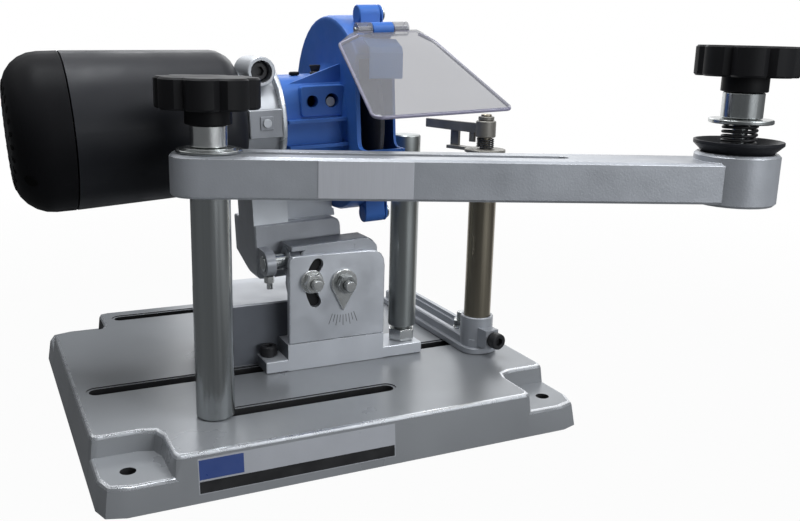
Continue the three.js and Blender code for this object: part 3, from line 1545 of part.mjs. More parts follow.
// Assembly: every frame below stands on the pivot of one moving part
function setFrame(group, x, y, z) {
  group.position.set(x, y, z);
  return group;
}

function armFrame() {
  const arm = frame('at_arm_slide',
    piece('arm_bar', bladeArm(), paint.silver)
  );
  const bossZ = frame('at_blade_holder',
    piece('blade_spindle', bladeSpindle(), paint.zinc),
    piece('centring_cone', centringCone(), paint.black),
    piece('blade_washer', bladeWasher(), paint.zinc),
    piece('blade_sleeve', sleeve(bladeSleeveRadius, bladeSleeveFoot, bladeSleeveLength), paint.zinc)
  );
  const wound = coil(springRadius, springWire, springCurls, springLength, 'blade_spring');
  const spring = piece('blade_spring', wound, paint.dark);
  spring.position.z = springFoot;
  const knob = piece('blade_knob', starKnob(), paint.black);
  knob.position.z = bladeKnobFoot;
  bossZ.add(spring, knob);
  bossZ.position.x = armReach;
  arm.add(bossZ);
  return arm;
}

function postFrame() {
  const knob = piece('arm_knob', starKnob(), paint.black);
  knob.position.z = armKnobFoot;
  const swing = frame('at_arm_swing', piece('clamp_washer', clampWasher(), paint.zinc), armFrame());
  swing.rotation.z = armSwing;
  return setFrame(frame('at_post_slide',
    piece('front_post', frontPost(), paint.zinc),
    piece('post_nut', postNut(), paint.zinc),
    piece('arm_sleeve', sleeve(armSleeveRadius, clampTop + seat, armSleeveLength), paint.zinc),
    knob, swing
  ), postX, frontSlotY, 0);
}

function headFrame() {
  const middle = (blockFrontY + footBackY) / 2;
  const bolt = socketScrew(capHeadRadius, capHeadHeight, capShankRadius, footThickness * 3);
  const screw = piece('block_screw', bolt, paint.black);
  screw.position.set(capScrewX, middle, footTop + seat);
  const square = (hole) => slotNut(boltHeadAcross, boltHeadHeight, hole + seat);
  const screwNut = piece('block_nut', square(capShankRadius), paint.zinc);
  screwNut.position.set(capScrewX, middle, 0);
  const support = piece('support_post', supportPost(), paint.zinc);
  const supportLock = piece('support_nut', supportNut(), paint.zinc);
  const supportSlotNut = piece('support_slot_nut', square(studRadius), paint.zinc);
  for (const item of [support, supportLock, supportSlotNut]) item.position.set(supportPostX, middle, 0);
  return frame('at_head_slide',
    piece('base_block', baseBlock(), paint.silver),
    piece('angle_plate', anglePlate(), paint.silver),
    screw, screwNut, support, supportLock, supportSlotNut, tiltFrame()
  );
}

function tiltFrame() {
  const stud = arcStudPlace();
  const inside = frame('inside_head_tilt',
    piece('tilt_block', tiltBlock(), paint.silver),
    piece('pivot_bolt', clampBolt(tiltX, tiltZ), paint.zinc),
    piece('pivot_nut', clampNut(tiltX, tiltZ), paint.zinc),
    piece('tilt_pointer', pointer(), paint.zinc),
    piece('arc_stud', clampStud(...stud), paint.zinc),
    piece('arc_nut', clampNut(...stud), paint.zinc),
    piece('arc_washer', clampWasherY(...stud), paint.zinc),
    rockFrame()
  );
  inside.position.set(-tiltX, 0, -tiltZ);
  const tilt = setFrame(frame('at_head_tilt', inside), tiltX, 0, tiltZ);
  tilt.rotation.y = restTilt;
  return tilt;
}

function rockFrame() {
  const wheelFrame = setFrame(frame('at_wheel_spin'), wheelX, headY, headZ);
  const inside = frame('inside_wheel_spin',
    piece('motor_shaft', motorShaft(), paint.zinc),
    piece('motor_rotor', rotor(), paint.steel),
    piece('grinding_wheel', grindingWheel(), paint.grit),
    piece('wheel_flange', wheelFlange(), paint.zinc),
    piece('wheel_nut', wheelNut(), paint.zinc)
  );
  inside.position.set(-wheelX, -headY, -headZ);
  wheelFrame.add(inside);
  const shieldFrame = setFrame(frame('at_shield_hinge'), wheelX, hingeY, hingeZ);
  const shield = piece('shield', shieldBody(), paint.clear);
  shield.position.set(-wheelX, -hingeY, -hingeZ);
  shieldFrame.add(shield);
  const inner = frame('inside_head_rock',
    piece('head_bracket', headBracket(), paint.silver),
    piece('rock_shaft', rockShaft(), paint.zinc),
    piece('lock_bolt', lockBolt(), paint.zinc),
    piece('motor_barrel', motorBarrel(), paint.black),
    piece('motor_end_cap', motorEndCap(), paint.black),
    piece('motor_stator', stator(), paint.copper),
    piece('bearing_rear', bearing(bearingX[0]), paint.steel),
    piece('bearing_front', bearing(bearingX[1]), paint.steel),
    piece('head_collar', collar(), paint.silver),
    piece('collar_screw', collarScrew(), paint.black),
    piece('guard_housing', guardHousing(), paint.blue),
    piece('guard_cover', guardCover(), paint.blue),
    piece('guard_screw_top', guardScrew(1), paint.zinc),
    piece('guard_screw_bottom', guardScrew(-1), paint.zinc),
    piece('neck_plug', neckPlug(), paint.black),
    piece('thumb_screw', thumbScrew(), paint.black),
    piece('shield_pin', shieldPin(), paint.zinc),
    wheelFrame, shieldFrame
  );
  inner.position.set(0, -rockY, -rockZ);
  return setFrame(frame('at_head_rock', inner), 0, rockY, rockZ);
}

function stopFrame() {
  const spring = piece(
    'finger_spring',
    coil(torsionRadius, torsionWire, torsionCurls, fingerCollarBottom - carrierTop - 2 * seat,
      'finger_spring'),
    paint.dark
  );
  spring.position.z = carrierTop + seat;
  const finger = frame('at_finger', piece('stop_finger', stopFinger(), paint.bronze));
  const carrier = frame('at_finger_carrier', piece('finger_carrier', fingerCarrier(), paint.bronze),
    spring, finger);
  carrier.rotation.z = fingerDirection;
  const post = frame('at_stop_post',
    piece('stop_post', stopPost(), paint.bronze),
    piece('finger_nut', fingerNut(), paint.bronze),
    carrier
  );
  const slide = frame('at_stop_slide',
    piece('stop_slide', stopSlide(), paint.silver),
    piece('clamp_screw', clampScrew(), paint.black),
    post
  );
  return setFrame(frame('at_stop_carriage',
    piece('stop_bolt', stopBolt(), paint.zinc),
    piece('stop_nut', stopNut(), paint.zinc),
    slide
  ), stopX, stopY, 0);
}

const sharpener = frame('saw_blade_sharpener',
  piece('base_plate', basePlate(), paint.castGrey),
  postFrame(),
  headFrame(),
  stopFrame()
);

// The frame of the whole: middle of its bounding box, standing on the ground
sharpener.updateMatrixWorld(true);
const bounds = new THREE.Box3();
sharpener.traverse((item) => {
  if (!item.isMesh) return;
  const corner = new THREE.Vector3();
  const places = item.geometry.attributes.position;
  for (let i = 0; i < places.count; i++) {
    bounds.expandByPoint(corner.fromBufferAttribute(places, i).applyMatrix4(item.matrixWorld));
  }
});
sharpener.position.set(-(bounds.min.x + bounds.max.x) / 2, -(bounds.min.y + bounds.max.y) / 2, -bounds.min.z);
sharpener.updateMatrixWorld(true);

export default sharpener;
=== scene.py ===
import json
import math

import bmesh
import bpy
from mathutils import Matrix, Vector


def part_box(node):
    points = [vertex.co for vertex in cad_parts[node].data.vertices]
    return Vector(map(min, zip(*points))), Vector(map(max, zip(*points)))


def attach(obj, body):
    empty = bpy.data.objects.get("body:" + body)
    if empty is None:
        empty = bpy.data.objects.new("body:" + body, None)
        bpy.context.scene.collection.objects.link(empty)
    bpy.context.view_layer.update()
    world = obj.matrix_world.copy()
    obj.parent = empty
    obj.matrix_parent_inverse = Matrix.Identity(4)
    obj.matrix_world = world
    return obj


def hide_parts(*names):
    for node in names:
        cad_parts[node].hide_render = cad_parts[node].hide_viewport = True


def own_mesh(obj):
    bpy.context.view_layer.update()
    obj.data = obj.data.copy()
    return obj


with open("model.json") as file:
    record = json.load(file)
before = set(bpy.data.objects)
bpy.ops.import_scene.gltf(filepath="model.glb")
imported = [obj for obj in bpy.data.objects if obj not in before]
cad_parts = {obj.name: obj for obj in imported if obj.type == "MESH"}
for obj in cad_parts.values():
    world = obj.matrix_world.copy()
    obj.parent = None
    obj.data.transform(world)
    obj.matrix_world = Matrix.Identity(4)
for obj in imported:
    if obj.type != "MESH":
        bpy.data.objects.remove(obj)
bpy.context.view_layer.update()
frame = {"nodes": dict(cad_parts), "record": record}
nodes = frame["nodes"]

mm = 0.001

# camera
camera_place = (-0.25517, -0.59396, 0.27492)
camera_yaw = math.radians(26.57)
camera_pitch = math.radians(13.85)
camera_roll = math.radians(1.5)
camera_lens = 39.95
camera_sensor = 36.0
camera_reach = (0.01, 50.0)

# light
floor_size = 8.0
floor_drop = 0.2 * mm
floor_white_share = 0.97
floor_fade = (0.45, 1.1)
floor_grey = 0.12
shadow_margin = 8 * mm
world_level = 0.2
world_low = (0.30, 0.31, 0.33, 1)
world_high = (0.95, 0.98, 1, 1)
world_fade = (0.42, 0.80)
lamp_tint = (0.94, 0.97, 1.0)
lamp_target = (0, 0, 0.12)
# each lamp's place, size and power
lamps = {
    "key": ((0.75, -0.95, 1.4), (0.8, 0.8), 15.0),
    "top": ((-0.30, 0.1, 1.6), (0.8, 0.8), 19.0),
    "fill": ((0.45, -1.5, 0.4), (0.9, 0.4), 9.0),
    "back": ((0.5, 1.4, 0.9), (1.4, 0.5), 4.0),
}
screen_radius = 0.56
screen_height = 0.42
screen_steps = 48
screen_ends = (math.radians(92), math.radians(365))
screen_dark = (0.11, 0.115, 0.12, 1)
screen_light = (0.30, 0.31, 0.32, 1)
screen_end = (0.15, 0.155, 0.16, 1)
screen_fade = (0.08, 0.33, 0.5)

# edges
weld_reach = 0.01 * mm
flat_angle = math.radians(0.6)
bevel_angle = math.radians(28)
smooth_angle = math.radians(34)
bevel_segments = 2


# nodes of a material or of the world

def link(tree, source, target):
    tree.links.new(source, target)


def reckon(tree, operation, *values):
    """A value worked out from others, each a number or the outlet of a node."""
    node = tree.nodes.new("ShaderNodeMath")
    node.operation = operation
    for socket, value in zip(node.inputs, values):
        if isinstance(value, bpy.types.NodeSocket):
            link(tree, value, socket)
        else:
            socket.default_value = value
    return node.outputs[0]


def blend(tree, share, first, second, output):
    """Shows the first surface at a share of 0 and the second at 1."""
    mix = tree.nodes.new("ShaderNodeMixShader")
    link(tree, share, mix.inputs[0])
    link(tree, first.outputs[0], mix.inputs[1])
    link(tree, second.outputs[0], mix.inputs[2])
    link(tree, mix.outputs[0], output.inputs[0])


# studio

def make_camera():
    data = bpy.data.cameras.new("camera")
    data.lens = camera_lens
    data.sensor_width = camera_sensor
    data.clip_start, data.clip_end = camera_reach
    cosine, sine = math.cos(camera_pitch), math.sin(camera_pitch)
    forward = Vector((math.sin(camera_yaw) * cosine, math.cos(camera_yaw) * cosine, -sine))
    level = Vector((math.cos(camera_yaw), -math.sin(camera_yaw), 0))
    fall = forward.cross(level)
    right = level * math.cos(camera_roll) - fall * math.sin(camera_roll)
    down = fall * math.cos(camera_roll) + level * math.sin(camera_roll)
    turn = Matrix((right, -down, -forward)).transposed().to_4x4()
    camera = bpy.data.objects.new("camera", data)
    camera.matrix_world = Matrix.Translation(camera_place) @ turn
    bpy.context.scene.collection.objects.link(camera)
    bpy.context.scene.camera = camera


def make_lamp(name, place, size, power):
    data = bpy.data.lights.new(name, "AREA")
    data.shape = "RECTANGLE"
    data.size, data.size_y = size
    data.energy = power
    data.color = lamp_tint
    light = bpy.data.objects.new(name, data)
    light.location = place
    aim = Vector(lamp_target) - Vector(place)
    light.rotation_euler = aim.to_track_quat("-Z", "Y").to_euler()
    bpy.context.scene.collection.objects.link(light)


def seen_directly(tree):
    """1 for the rays that show the background in the picture, in metal and in clear sheet."""
    path = tree.nodes.new("ShaderNodeLightPath")
    clear = reckon(tree, "MAXIMUM", path.outputs["Is Camera Ray"],
                   path.outputs["Is Transmission Ray"])
    return reckon(tree, "MAXIMUM", clear, path.outputs["Is Glossy Ray"])


def make_world():
    world = bpy.data.worlds.new("studio")
    bpy.context.scene.world = world
    world.use_nodes = True
    tree = world.node_tree
    tree.nodes.clear()
    output = tree.nodes.new("ShaderNodeOutputWorld")
    lighting = tree.nodes.new("ShaderNodeBackground")
    lighting.inputs["Strength"].default_value = world_level
    place = tree.nodes.new("ShaderNodeTexCoord")
    parts = tree.nodes.new("ShaderNodeSeparateXYZ")
    ramp = tree.nodes.new("ShaderNodeValToRGB")
    for stop, rise, colour in zip(ramp.color_ramp.elements, world_fade, (world_low, world_high)):
        stop.position = rise
        stop.color = colour
    height = tree.nodes.new("ShaderNodeMapRange")
    height.inputs["From Min"].default_value = -1
    height.inputs["From Max"].default_value = 1
    link(tree, place.outputs["Generated"], parts.inputs[0])
    link(tree, parts.outputs["Z"], height.inputs["Value"])
    link(tree, height.outputs[0], ramp.inputs[0])
    link(tree, ramp.outputs["Color"], lighting.inputs["Color"])
    white = tree.nodes.new("ShaderNodeBackground")
    white.inputs["Color"].default_value = (1, 1, 1, 1)
    white.inputs["Strength"].default_value = 1
    blend(tree, seen_directly(tree), lighting, white, output)


def under_base(tree, place):
    """0 under the base, where the floor is in the dark, and 1 around it."""
    low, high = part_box("base_plate")
    parts = tree.nodes.new("ShaderNodeSeparateXYZ")
    link(tree, place, parts.inputs[0])
    outside = []
    for axis, name in enumerate("XY"):
        away = reckon(tree, "SUBTRACT", parts.outputs[name], (low[axis] + high[axis]) / 2)
        reach = (high[axis] - low[axis]) / 2 - shadow_margin
        outside.append(reckon(tree, "GREATER_THAN", reckon(tree, "ABSOLUTE", away), reach))
    return reckon(tree, "MAXIMUM", *outside)


def make_floor():
    mesh = bpy.data.meshes.new("floor")
    half = floor_size / 2
    corners = [(-half, -half), (half, -half), (half, half), (-half, half)]
    mesh.from_pydata([(x, y, -floor_drop) for x, y in corners], [], [(0, 1, 2, 3)])
    floor = bpy.data.objects.new("floor", mesh)
    bpy.context.scene.collection.objects.link(floor)
    material = bpy.data.materials.new("floor_white")
    material.use_nodes = True
    tree = material.node_tree
    tree.nodes.clear()
    output = tree.nodes.new("ShaderNodeOutputMaterial")
    diffuse = tree.nodes.new("ShaderNodeBsdfDiffuse")
    diffuse.inputs["Color"].default_value = (floor_grey, floor_grey, floor_grey, 1)
    white = tree.nodes.new("ShaderNodeEmission")
    white.inputs["Strength"].default_value = 1
    spot = tree.nodes.new("ShaderNodeTexCoord")
    distance = tree.nodes.new("ShaderNodeVectorMath")
    distance.operation = "LENGTH"
    link(tree, spot.outputs["Object"], distance.inputs[0])
    fade = tree.nodes.new("ShaderNodeMapRange")
    fade.inputs["From Min"].default_value, fade.inputs["From Max"].default_value = floor_fade
    fade.inputs["To Min"].default_value = floor_white_share
    fade.inputs["To Max"].default_value = 1
    link(tree, distance.outputs["Value"], fade.inputs["Value"])
    share = reckon(tree, "MULTIPLY", seen_directly(tree), fade.outputs[0])
    share = reckon(tree, "MULTIPLY", share, under_base(tree, spot.outputs["Object"]))
    blend(tree, share, diffuse, white, output)
    mesh.materials.append(material)


def make_screen():
    """A dark cloth on the front and left, lighter to the right, met by reflections alone."""
    start, end = screen_ends
    points = []
    for i in range(screen_steps + 1):
        angle = start + (end - start) * i / screen_steps
        across, along = screen_radius * math.cos(angle), screen_radius * math.sin(angle)
        points += [(across, along, -floor_drop / 2), (across, along, screen_height)]
    faces = [(2 * i, 2 * i + 2, 2 * i + 3, 2 * i + 1) for i in range(screen_steps)]
    points.append((0, 0, -floor_drop / 2))
    faces += [(2 * i, 2 * i + 2, len(points) - 1) for i in range(screen_steps)]
    mesh = bpy.data.meshes.new("screen")
    mesh.from_pydata(points, [], faces)
    screen = bpy.data.objects.new("screen", mesh)
    bpy.context.scene.collection.objects.link(screen)
    material = bpy.data.materials.new("screen_dark")
    material.use_nodes = True
    tree = material.node_tree
    tree.nodes.clear()
    output = tree.nodes.new("ShaderNodeOutputMaterial")
    glow = tree.nodes.new("ShaderNodeEmission")
    spot = tree.nodes.new("ShaderNodeTexCoord")
    parts = tree.nodes.new("ShaderNodeSeparateXYZ")
    across = tree.nodes.new("ShaderNodeMapRange")
    across.inputs["From Max"].default_value = screen_radius
    ramp = tree.nodes.new("ShaderNodeValToRGB")
    ramp.color_ramp.elements.new(screen_fade[1] / screen_radius)
    for stop, place, colour in zip(ramp.color_ramp.elements, screen_fade,
                                   (screen_dark, screen_light, screen_end)):
        stop.position = place / screen_radius
        stop.color = colour
    link(tree, spot.outputs["Object"], parts.inputs[0])
    link(tree, parts.outputs["X"], across.inputs["Value"])
    link(tree, across.outputs[0], ramp.inputs[0])
    link(tree, ramp.outputs["Color"], glow.inputs["Color"])
    link(tree, glow.outputs[0], output.inputs[0])
    mesh.materials.append(material)
    screen.visible_camera = False
    screen.visible_diffuse = False
    screen.visible_transmission = False
    screen.visible_shadow = False


def make_studio():
    make_camera()
    make_world()
    make_floor()
    make_screen()
    for name, (place, size, power) in lamps.items():
        make_lamp(name, place, size, power)
    bpy.context.scene.view_settings.view_transform = "Standard"


# finishes

noise_span = (0.3, 0.7)
smear_share = 2.3


def noise(tree, coordinates, scale, detail, stretch=None):
    texture = tree.nodes.new("ShaderNodeTexNoise")
    texture.inputs["Scale"].default_value = scale
    texture.inputs["Detail"].default_value = detail
    source = coordinates
    if stretch:
        mapping = tree.nodes.new("ShaderNodeMapping")
        mapping.inputs["Scale"].default_value = stretch
        link(tree, coordinates, mapping.inputs["Vector"])
        source = mapping.outputs["Vector"]
    link(tree, source, texture.inputs["Vector"])
    return texture.outputs["Fac"]


def spread(tree, value, low, high):
    """Noise spread from a low to a high value."""
    node = tree.nodes.new("ShaderNodeMapRange")
    node.inputs["From Min"].default_value, node.inputs["From Max"].default_value = noise_span
    node.inputs["To Min"].default_value = low
    node.inputs["To Max"].default_value = high
    link(tree, value, node.inputs["Value"])
    return node.outputs[0]


def between(tree, share, first, second):
    node = tree.nodes.new("ShaderNodeMix")
    node.data_type = "RGBA"
    link(tree, share, node.inputs["Factor"])
    node.inputs["A"].default_value = (*first, 1)
    node.inputs["B"].default_value = (*second, 1)
    return node.outputs["Result"]


def bump(tree, height, distance, strength):
    node = tree.nodes.new("ShaderNodeBump")
    node.inputs["Distance"].default_value = distance
    node.inputs["Strength"].default_value = strength
    link(tree, height, node.inputs["Height"])
    return node.outputs["Normal"]


def shade(colour, share):
    return tuple(min(1.0, part * share) for part in colour)


def finish(name, colour, metallic=0.0, roughness=0.4, vary=0.06, patch=18, wander=0.08,
           grain=900, grain_depth=0.02, grain_strength=0.25, stretch=None, specular=0.5):
    """A painted, plated or moulded surface with patchy colour, uneven gloss and fine relief."""
    material = bpy.data.materials.new(name)
    material.use_nodes = True
    tree = material.node_tree
    shader = tree.nodes["Principled BSDF"]
    shader.inputs["Metallic"].default_value = metallic
    shader.inputs["Specular IOR Level"].default_value = specular
    coordinates = tree.nodes.new("ShaderNodeTexCoord").outputs["Object"]
    patches = noise(tree, coordinates, patch, 4, stretch)
    link(tree, between(tree, spread(tree, patches, 0, 1), shade(colour, 1 - vary),
                       shade(colour, 1 + vary)), shader.inputs["Base Color"])
    smears = noise(tree, coordinates, patch * smear_share, 5, stretch)
    link(tree, spread(tree, smears, roughness - wander, roughness + wander),
         shader.inputs["Roughness"])
    relief = bump(tree, noise(tree, coordinates, grain, 2), grain_depth * mm, grain_strength)
    link(tree, relief, shader.inputs["Normal"])
    return material


# streaks along the posts and along the arm's plate
upright = (1, 1, 0.015)
lengthwise = (30, 30, 1)

materials = {
    "plate_casting": finish("plate_silver", (0.29, 0.30, 0.315), 0.30, 0.31, vary=0.06, patch=9,
                            wander=0.05, specular=0.30, grain=1500, grain_depth=0.05,
                            grain_strength=0.30),
    "silver_casting": finish("casting_silver", (0.37, 0.385, 0.415), 0.25, 0.36, vary=0.09,
                             patch=28, grain=800, grain_depth=0.14, grain_strength=0.6),
    "zinc": finish("zinc_bright", (0.50, 0.52, 0.52), 1.0, 0.22, vary=0.10, patch=160,
                   wander=0.05, grain=500, grain_depth=0.004, grain_strength=0.15,
                   stretch=upright),
    "steel": finish("steel_bare", (0.36, 0.36, 0.34), 1.0, 0.38, grain=1600, grain_depth=0.01),
    "bronze_steel": finish("steel_browned", (0.28, 0.25, 0.195), 1.0, 0.33, vary=0.18,
                           patch=140, wander=0.05, grain=500, grain_depth=0.004,
                           grain_strength=0.15, stretch=upright),
    "dark_steel": finish("steel_black", (0.018, 0.018, 0.020), 0.0, 0.42, grain=1800,
                         grain_depth=0.01, specular=0.35),
    "black_plastic": finish("plastic_black", (0.008, 0.008, 0.009), 0.0, 0.50, grain=1100,
                            grain_depth=0.03, grain_strength=0.25, specular=0.12),
    "black_enamel": finish("enamel_black", (0.0145, 0.0152, 0.0185), 0.0, 0.42, grain=2200,
                           grain_depth=0.015, grain_strength=0.25, specular=0.16),
    "blue_enamel": finish("enamel_blue", (0.042, 0.140, 0.46), 0.0, 0.44, vary=0.08, patch=30,
                          grain=700, grain_depth=0.05, grain_strength=0.35, specular=0.22),
    "abrasive": finish("grit", (0.060, 0.060, 0.068), 0.0, 0.85, vary=0.3, patch=900, grain=2600,
                       grain_depth=0.2, grain_strength=0.9, specular=0.25),
    "winding": finish("copper_winding", (0.60, 0.30, 0.14), 0.6, 0.4, grain=1600,
                      grain_depth=0.1, stretch=(1, 12, 12)),
}
sheet_metal = finish("sheet_metal", (0.60, 0.62, 0.66), 0.62, 0.36, vary=0.06, patch=20,
                     grain=600, grain_depth=0.01, grain_strength=0.1)
block_silver = finish("block_silver", (0.60, 0.62, 0.66), 0.35, 0.42, vary=0.06, patch=20,
                      grain=900, grain_depth=0.03, grain_strength=0.2)
column_silver = finish("column_silver", (0.74, 0.77, 0.81), 0.4, 0.38, vary=0.06, patch=28,
                       grain=900, grain_depth=0.04, grain_strength=0.3)
# a lighter copy of the guard's blue enamel: painted light on the tongue's lit front
tongue_painted_light_blue = finish("tongue_painted_light_blue", (0.14, 0.38, 0.90), 0.0, 0.4, vary=0.05, patch=30,
                     grain=700, grain_depth=0.02)
pad_silver = finish("pad_silver", (0.23, 0.24, 0.26), 0.3, 0.42, vary=0.08, patch=28,
                    grain=900, grain_depth=0.08, grain_strength=0.4)
# painted shade: a darker copy of the casting for the base block's sides and set-back faces and the
# tilting block's top
painted_shade_casting = finish("painted_shade_casting", (0.135, 0.145, 0.165), 0.2, 0.45, vary=0.08, patch=28,
                   grain=800, grain_depth=0.12, grain_strength=0.5, specular=0.3)
bolt_zinc = finish("bolt_zinc", (0.78, 0.79, 0.78), 1.0, 0.24, vary=0.05, patch=160,
                   wander=0.03, grain=500, grain_depth=0.004, grain_strength=0.1)
collar_silver = finish("collar_silver", (0.40, 0.415, 0.44), 0.4, 0.38, vary=0.06, patch=20,
                       grain=1500, grain_depth=0.04, grain_strength=0.35)
post_satin = finish("post_satin", (0.36, 0.38, 0.375), 1.0, 0.36, vary=0.06, patch=120,
                    wander=0.05, grain=900, grain_depth=0.006, grain_strength=0.2,
                    stretch=upright)
finger_steel = finish("finger_steel", (0.21, 0.20, 0.18), 0.55, 0.48, vary=0.15, patch=90,
                      grain=1400, grain_depth=0.02, grain_strength=0.3)
# painted shade for the insides of the slots, holes and underside, and behind the arc slot
shade_lining_paint = finish("painted_inner_shade", (0.020, 0.020, 0.021), 0.0, 0.7, vary=0.2, patch=60,
                      grain=700, grain_depth=0.1, grain_strength=0.5, specular=0.2)

# finishes of the trim
plate_bright = finish("plate_bright", (0.57, 0.58, 0.62), 0.35, 0.42, vary=0.03, patch=40,
                      grain=500, grain_depth=0.01, grain_strength=0.2, stretch=lengthwise)
label_light = finish("label_light", (0.38, 0.39, 0.42), 0.0, 0.35, vary=0.03, patch=60,
                     grain=900, grain_depth=0.01)
label_blue = finish("label_blue", (0.033, 0.065, 0.22), 0.0, 0.35, vary=0.05, patch=60,
                    grain=900, grain_depth=0.01)
label_black = finish("label_black", (0.012, 0.012, 0.013), 0.0, 0.35, vary=0.1, patch=60,
                     grain=900, grain_depth=0.01)
engraved = finish("engraved_dark", (0.06, 0.06, 0.065), 0.0, 0.7, vary=0.15, patch=200,
                  grain=900, grain_depth=0.01)
sheet_edge = finish("sheet_edge", (0.22, 0.21, 0.29), 0.0, 0.22, vary=0.1, patch=90,
                    grain=900, grain_depth=0.01)
cap_black = finish("cap_black", (0.008, 0.008, 0.009), 0.0, 0.46, grain=1600,
                   grain_depth=0.02, specular=0.04)
collar_bright = finish("collar_bright", (0.62, 0.65, 0.68), 0.6, 0.28, vary=0.05, patch=30,
                       grain=1500, grain_depth=0.02)
# painted highlight: bright metal on the castings' bevels and on the base's rounded upper edges
painted_edge_highlight = finish("painted_edge_highlight", (0.70, 0.72, 0.75), 0.85, 0.28, vary=0.05, patch=60,
                     wander=0.04, grain=900, grain_depth=0.01)
# painted shade for the openings of the cap's vents and screw hole
painted_hole_shade = finish("painted_hole_shade_black", (0.004, 0.004, 0.004), 0.0, 0.9, vary=0.1, patch=90,
              grain=900, grain_depth=0.01, specular=0.05)


sheet_tints = ((0.20, 0.20, 0.22), (0.23, 0.23, 0.25))
sheet_alpha = 0.46
sheet_roughness = (0.16, 0.24)


def clear_sheet():
    """The clear plastic of the shield, faintly smoky and uneven in gloss."""
    material = bpy.data.materials.new("sheet_clear")
    material.use_nodes = True
    tree = material.node_tree
    shader = tree.nodes["Principled BSDF"]
    coordinates = tree.nodes.new("ShaderNodeTexCoord").outputs["Object"]
    share = spread(tree, noise(tree, coordinates, 20, 3), 0, 1)
    link(tree, between(tree, share, *sheet_tints), shader.inputs["Base Color"])
    shader.inputs["Alpha"].default_value = sheet_alpha
    link(tree, spread(tree, noise(tree, coordinates, 60, 4), *sheet_roughness),
         shader.inputs["Roughness"])
    relief = bump(tree, noise(tree, coordinates, 90, 2), 0.01 * mm, 0.1)
    link(tree, relief, shader.inputs["Normal"])
    return material


materials["clear_plastic"] = clear_sheet()


# edges and surfaces of the machine's parts

bevel_widths = {
    "plate_casting": 0.5, "silver_casting": 0.5, "zinc": 0.25, "steel": 0.2, "bronze_steel": 0.25,
    "dark_steel": 0.25, "black_plastic": 0.5, "black_enamel": 0.3, "blue_enamel": 0.45,
    "clear_plastic": 0.3, "abrasive": 0.2, "winding": 0.2,
}


def soften(thing, width):
    """Rounds the sharp edges of a part and smooths its curved faces."""
    mesh = thing.data
    for attribute in [a.name for a in mesh.attributes if a.name == "custom_normal"]:
        mesh.attributes.remove(mesh.attributes[attribute])
    mesh.polygons.foreach_set("use_smooth", [True] * len(mesh.polygons))
    weld = thing.modifiers.new("weld", "WELD")
    weld.merge_threshold = weld_reach
    flat = thing.modifiers.new("flat", "DECIMATE")
    flat.decimate_type = "DISSOLVE"
    flat.angle_limit = flat_angle
    bevel = thing.modifiers.new("edges", "BEVEL")
    bevel.width = width * mm
    bevel.segments = bevel_segments
    bevel.limit_method = "ANGLE"
    bevel.angle_limit = bevel_angle
    bevel.use_clamp_overlap = True
    normals = thing.modifiers.new("normals", "WEIGHTED_NORMAL")
    normals.keep_sharp = True
    return bevel


# where the slots and bench holes lie in the base, with a margin: left, right, front, back
plate_wall = 3.0
slot_regions = ((-150, 60, -63, -42), (-195, 150, 7, 30), (-190, 140, 172, 195))
bench_holes = ((-180.17, -83.52), (122.83, -83.52), (-180.17, 184.48), (122.83, 184.48))
bench_hole_reach = 6.0
# where the block steps back and the bracket's column begins
block_step = 10.0
bracket_step = 136.0
# the rounded upper edges of the base and its ears, where a highlight is painted, and how far their
# faces lean
rounding_heights = ((15.9, 18.5), (29.5, 32.0))
rounding_lean = (0.25, 0.97)
# how deep the collar's pad reaches and where the tilting block's top begins
pad_reach = 1.0
tilt_top_height = 120.0
# how squarely a face looks one way: roughly, well and exactly
facing = 0.5
facing_well = 0.9
facing_exactly = 0.98


def cut_wall(x, y):
    """Whether a wall at this place belongs to a slot or a bench hole."""
    in_slot = any(x0 < x < x1 and y0 < y < y1 for x0, x1, y0, y1 in slot_regions)
    in_hole = any(math.hypot(x - a, y - b) < bench_hole_reach for a, b in bench_holes)
    return in_slot or in_hole


def paint_inner_shade(thing):
    """Paints shade on the walls of the slots and holes and on the hollow underside, with a dark
    surface.
    """
    thing.data.materials.append(shade_lining_paint)
    low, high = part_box("base_plate")
    reach = plate_wall * mm
    for face in thing.data.polygons:
        x, y, z = face.center
        inner = low[0] + reach < x < high[0] - reach and low[1] + reach < y < high[1] - reach
        under = face.normal.z < -facing and z > reach
        wall = abs(face.normal.z) < facing and cut_wall(x / mm, y / mm)
        if inner and (under or wall):
            face.material_index = 1


def second_finish(thing, material, chosen):
    """Gives the faces of a part that a test picks a finish of their own."""
    thing.data.materials.append(material)
    for face in thing.data.polygons:
        if chosen(face.normal, face.center / mm):
            face.material_index = len(thing.data.materials) - 1


# the base's rounded upper edges, which get a painted highlight
def painted_highlight_rounding(normal, center):
    turned = rounding_lean[0] < normal.z < rounding_lean[1]
    return turned and any(low < center.z < high for low, high in rounding_heights)


# faces of the base block that get painted shade
def block_side(normal, center):
    set_back = normal.y < -facing_well and center.y > block_step
    return abs(normal.x) > facing_well or set_back


def collar_pad(normal, center):
    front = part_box("head_collar")[0][1] / mm
    return normal.y < -facing_exactly and center.y < front + pad_reach


def bracket_column(normal, center):
    return normal.y < -facing_well and center.z > bracket_step


# the tilting block's top, which gets painted shade
def tilt_top(normal, center):
    return normal.z > facing and center.z > tilt_top_height


own_finish = {
    "motor_end_cap": cap_black, "angle_plate": sheet_metal, "head_collar": collar_silver,
    "support_post": post_satin, "base_block": block_silver,
    "stop_finger": finger_steel, "finger_carrier": finger_steel, "finger_nut": finger_steel,
    "arc_nut": bolt_zinc, "arc_stud": bolt_zinc, "arc_washer": bolt_zinc, "pivot_bolt": bolt_zinc,
    "tilt_pointer": bolt_zinc, "support_nut": bolt_zinc, "lock_bolt": bolt_zinc,
    "arm_sleeve": bolt_zinc,
}
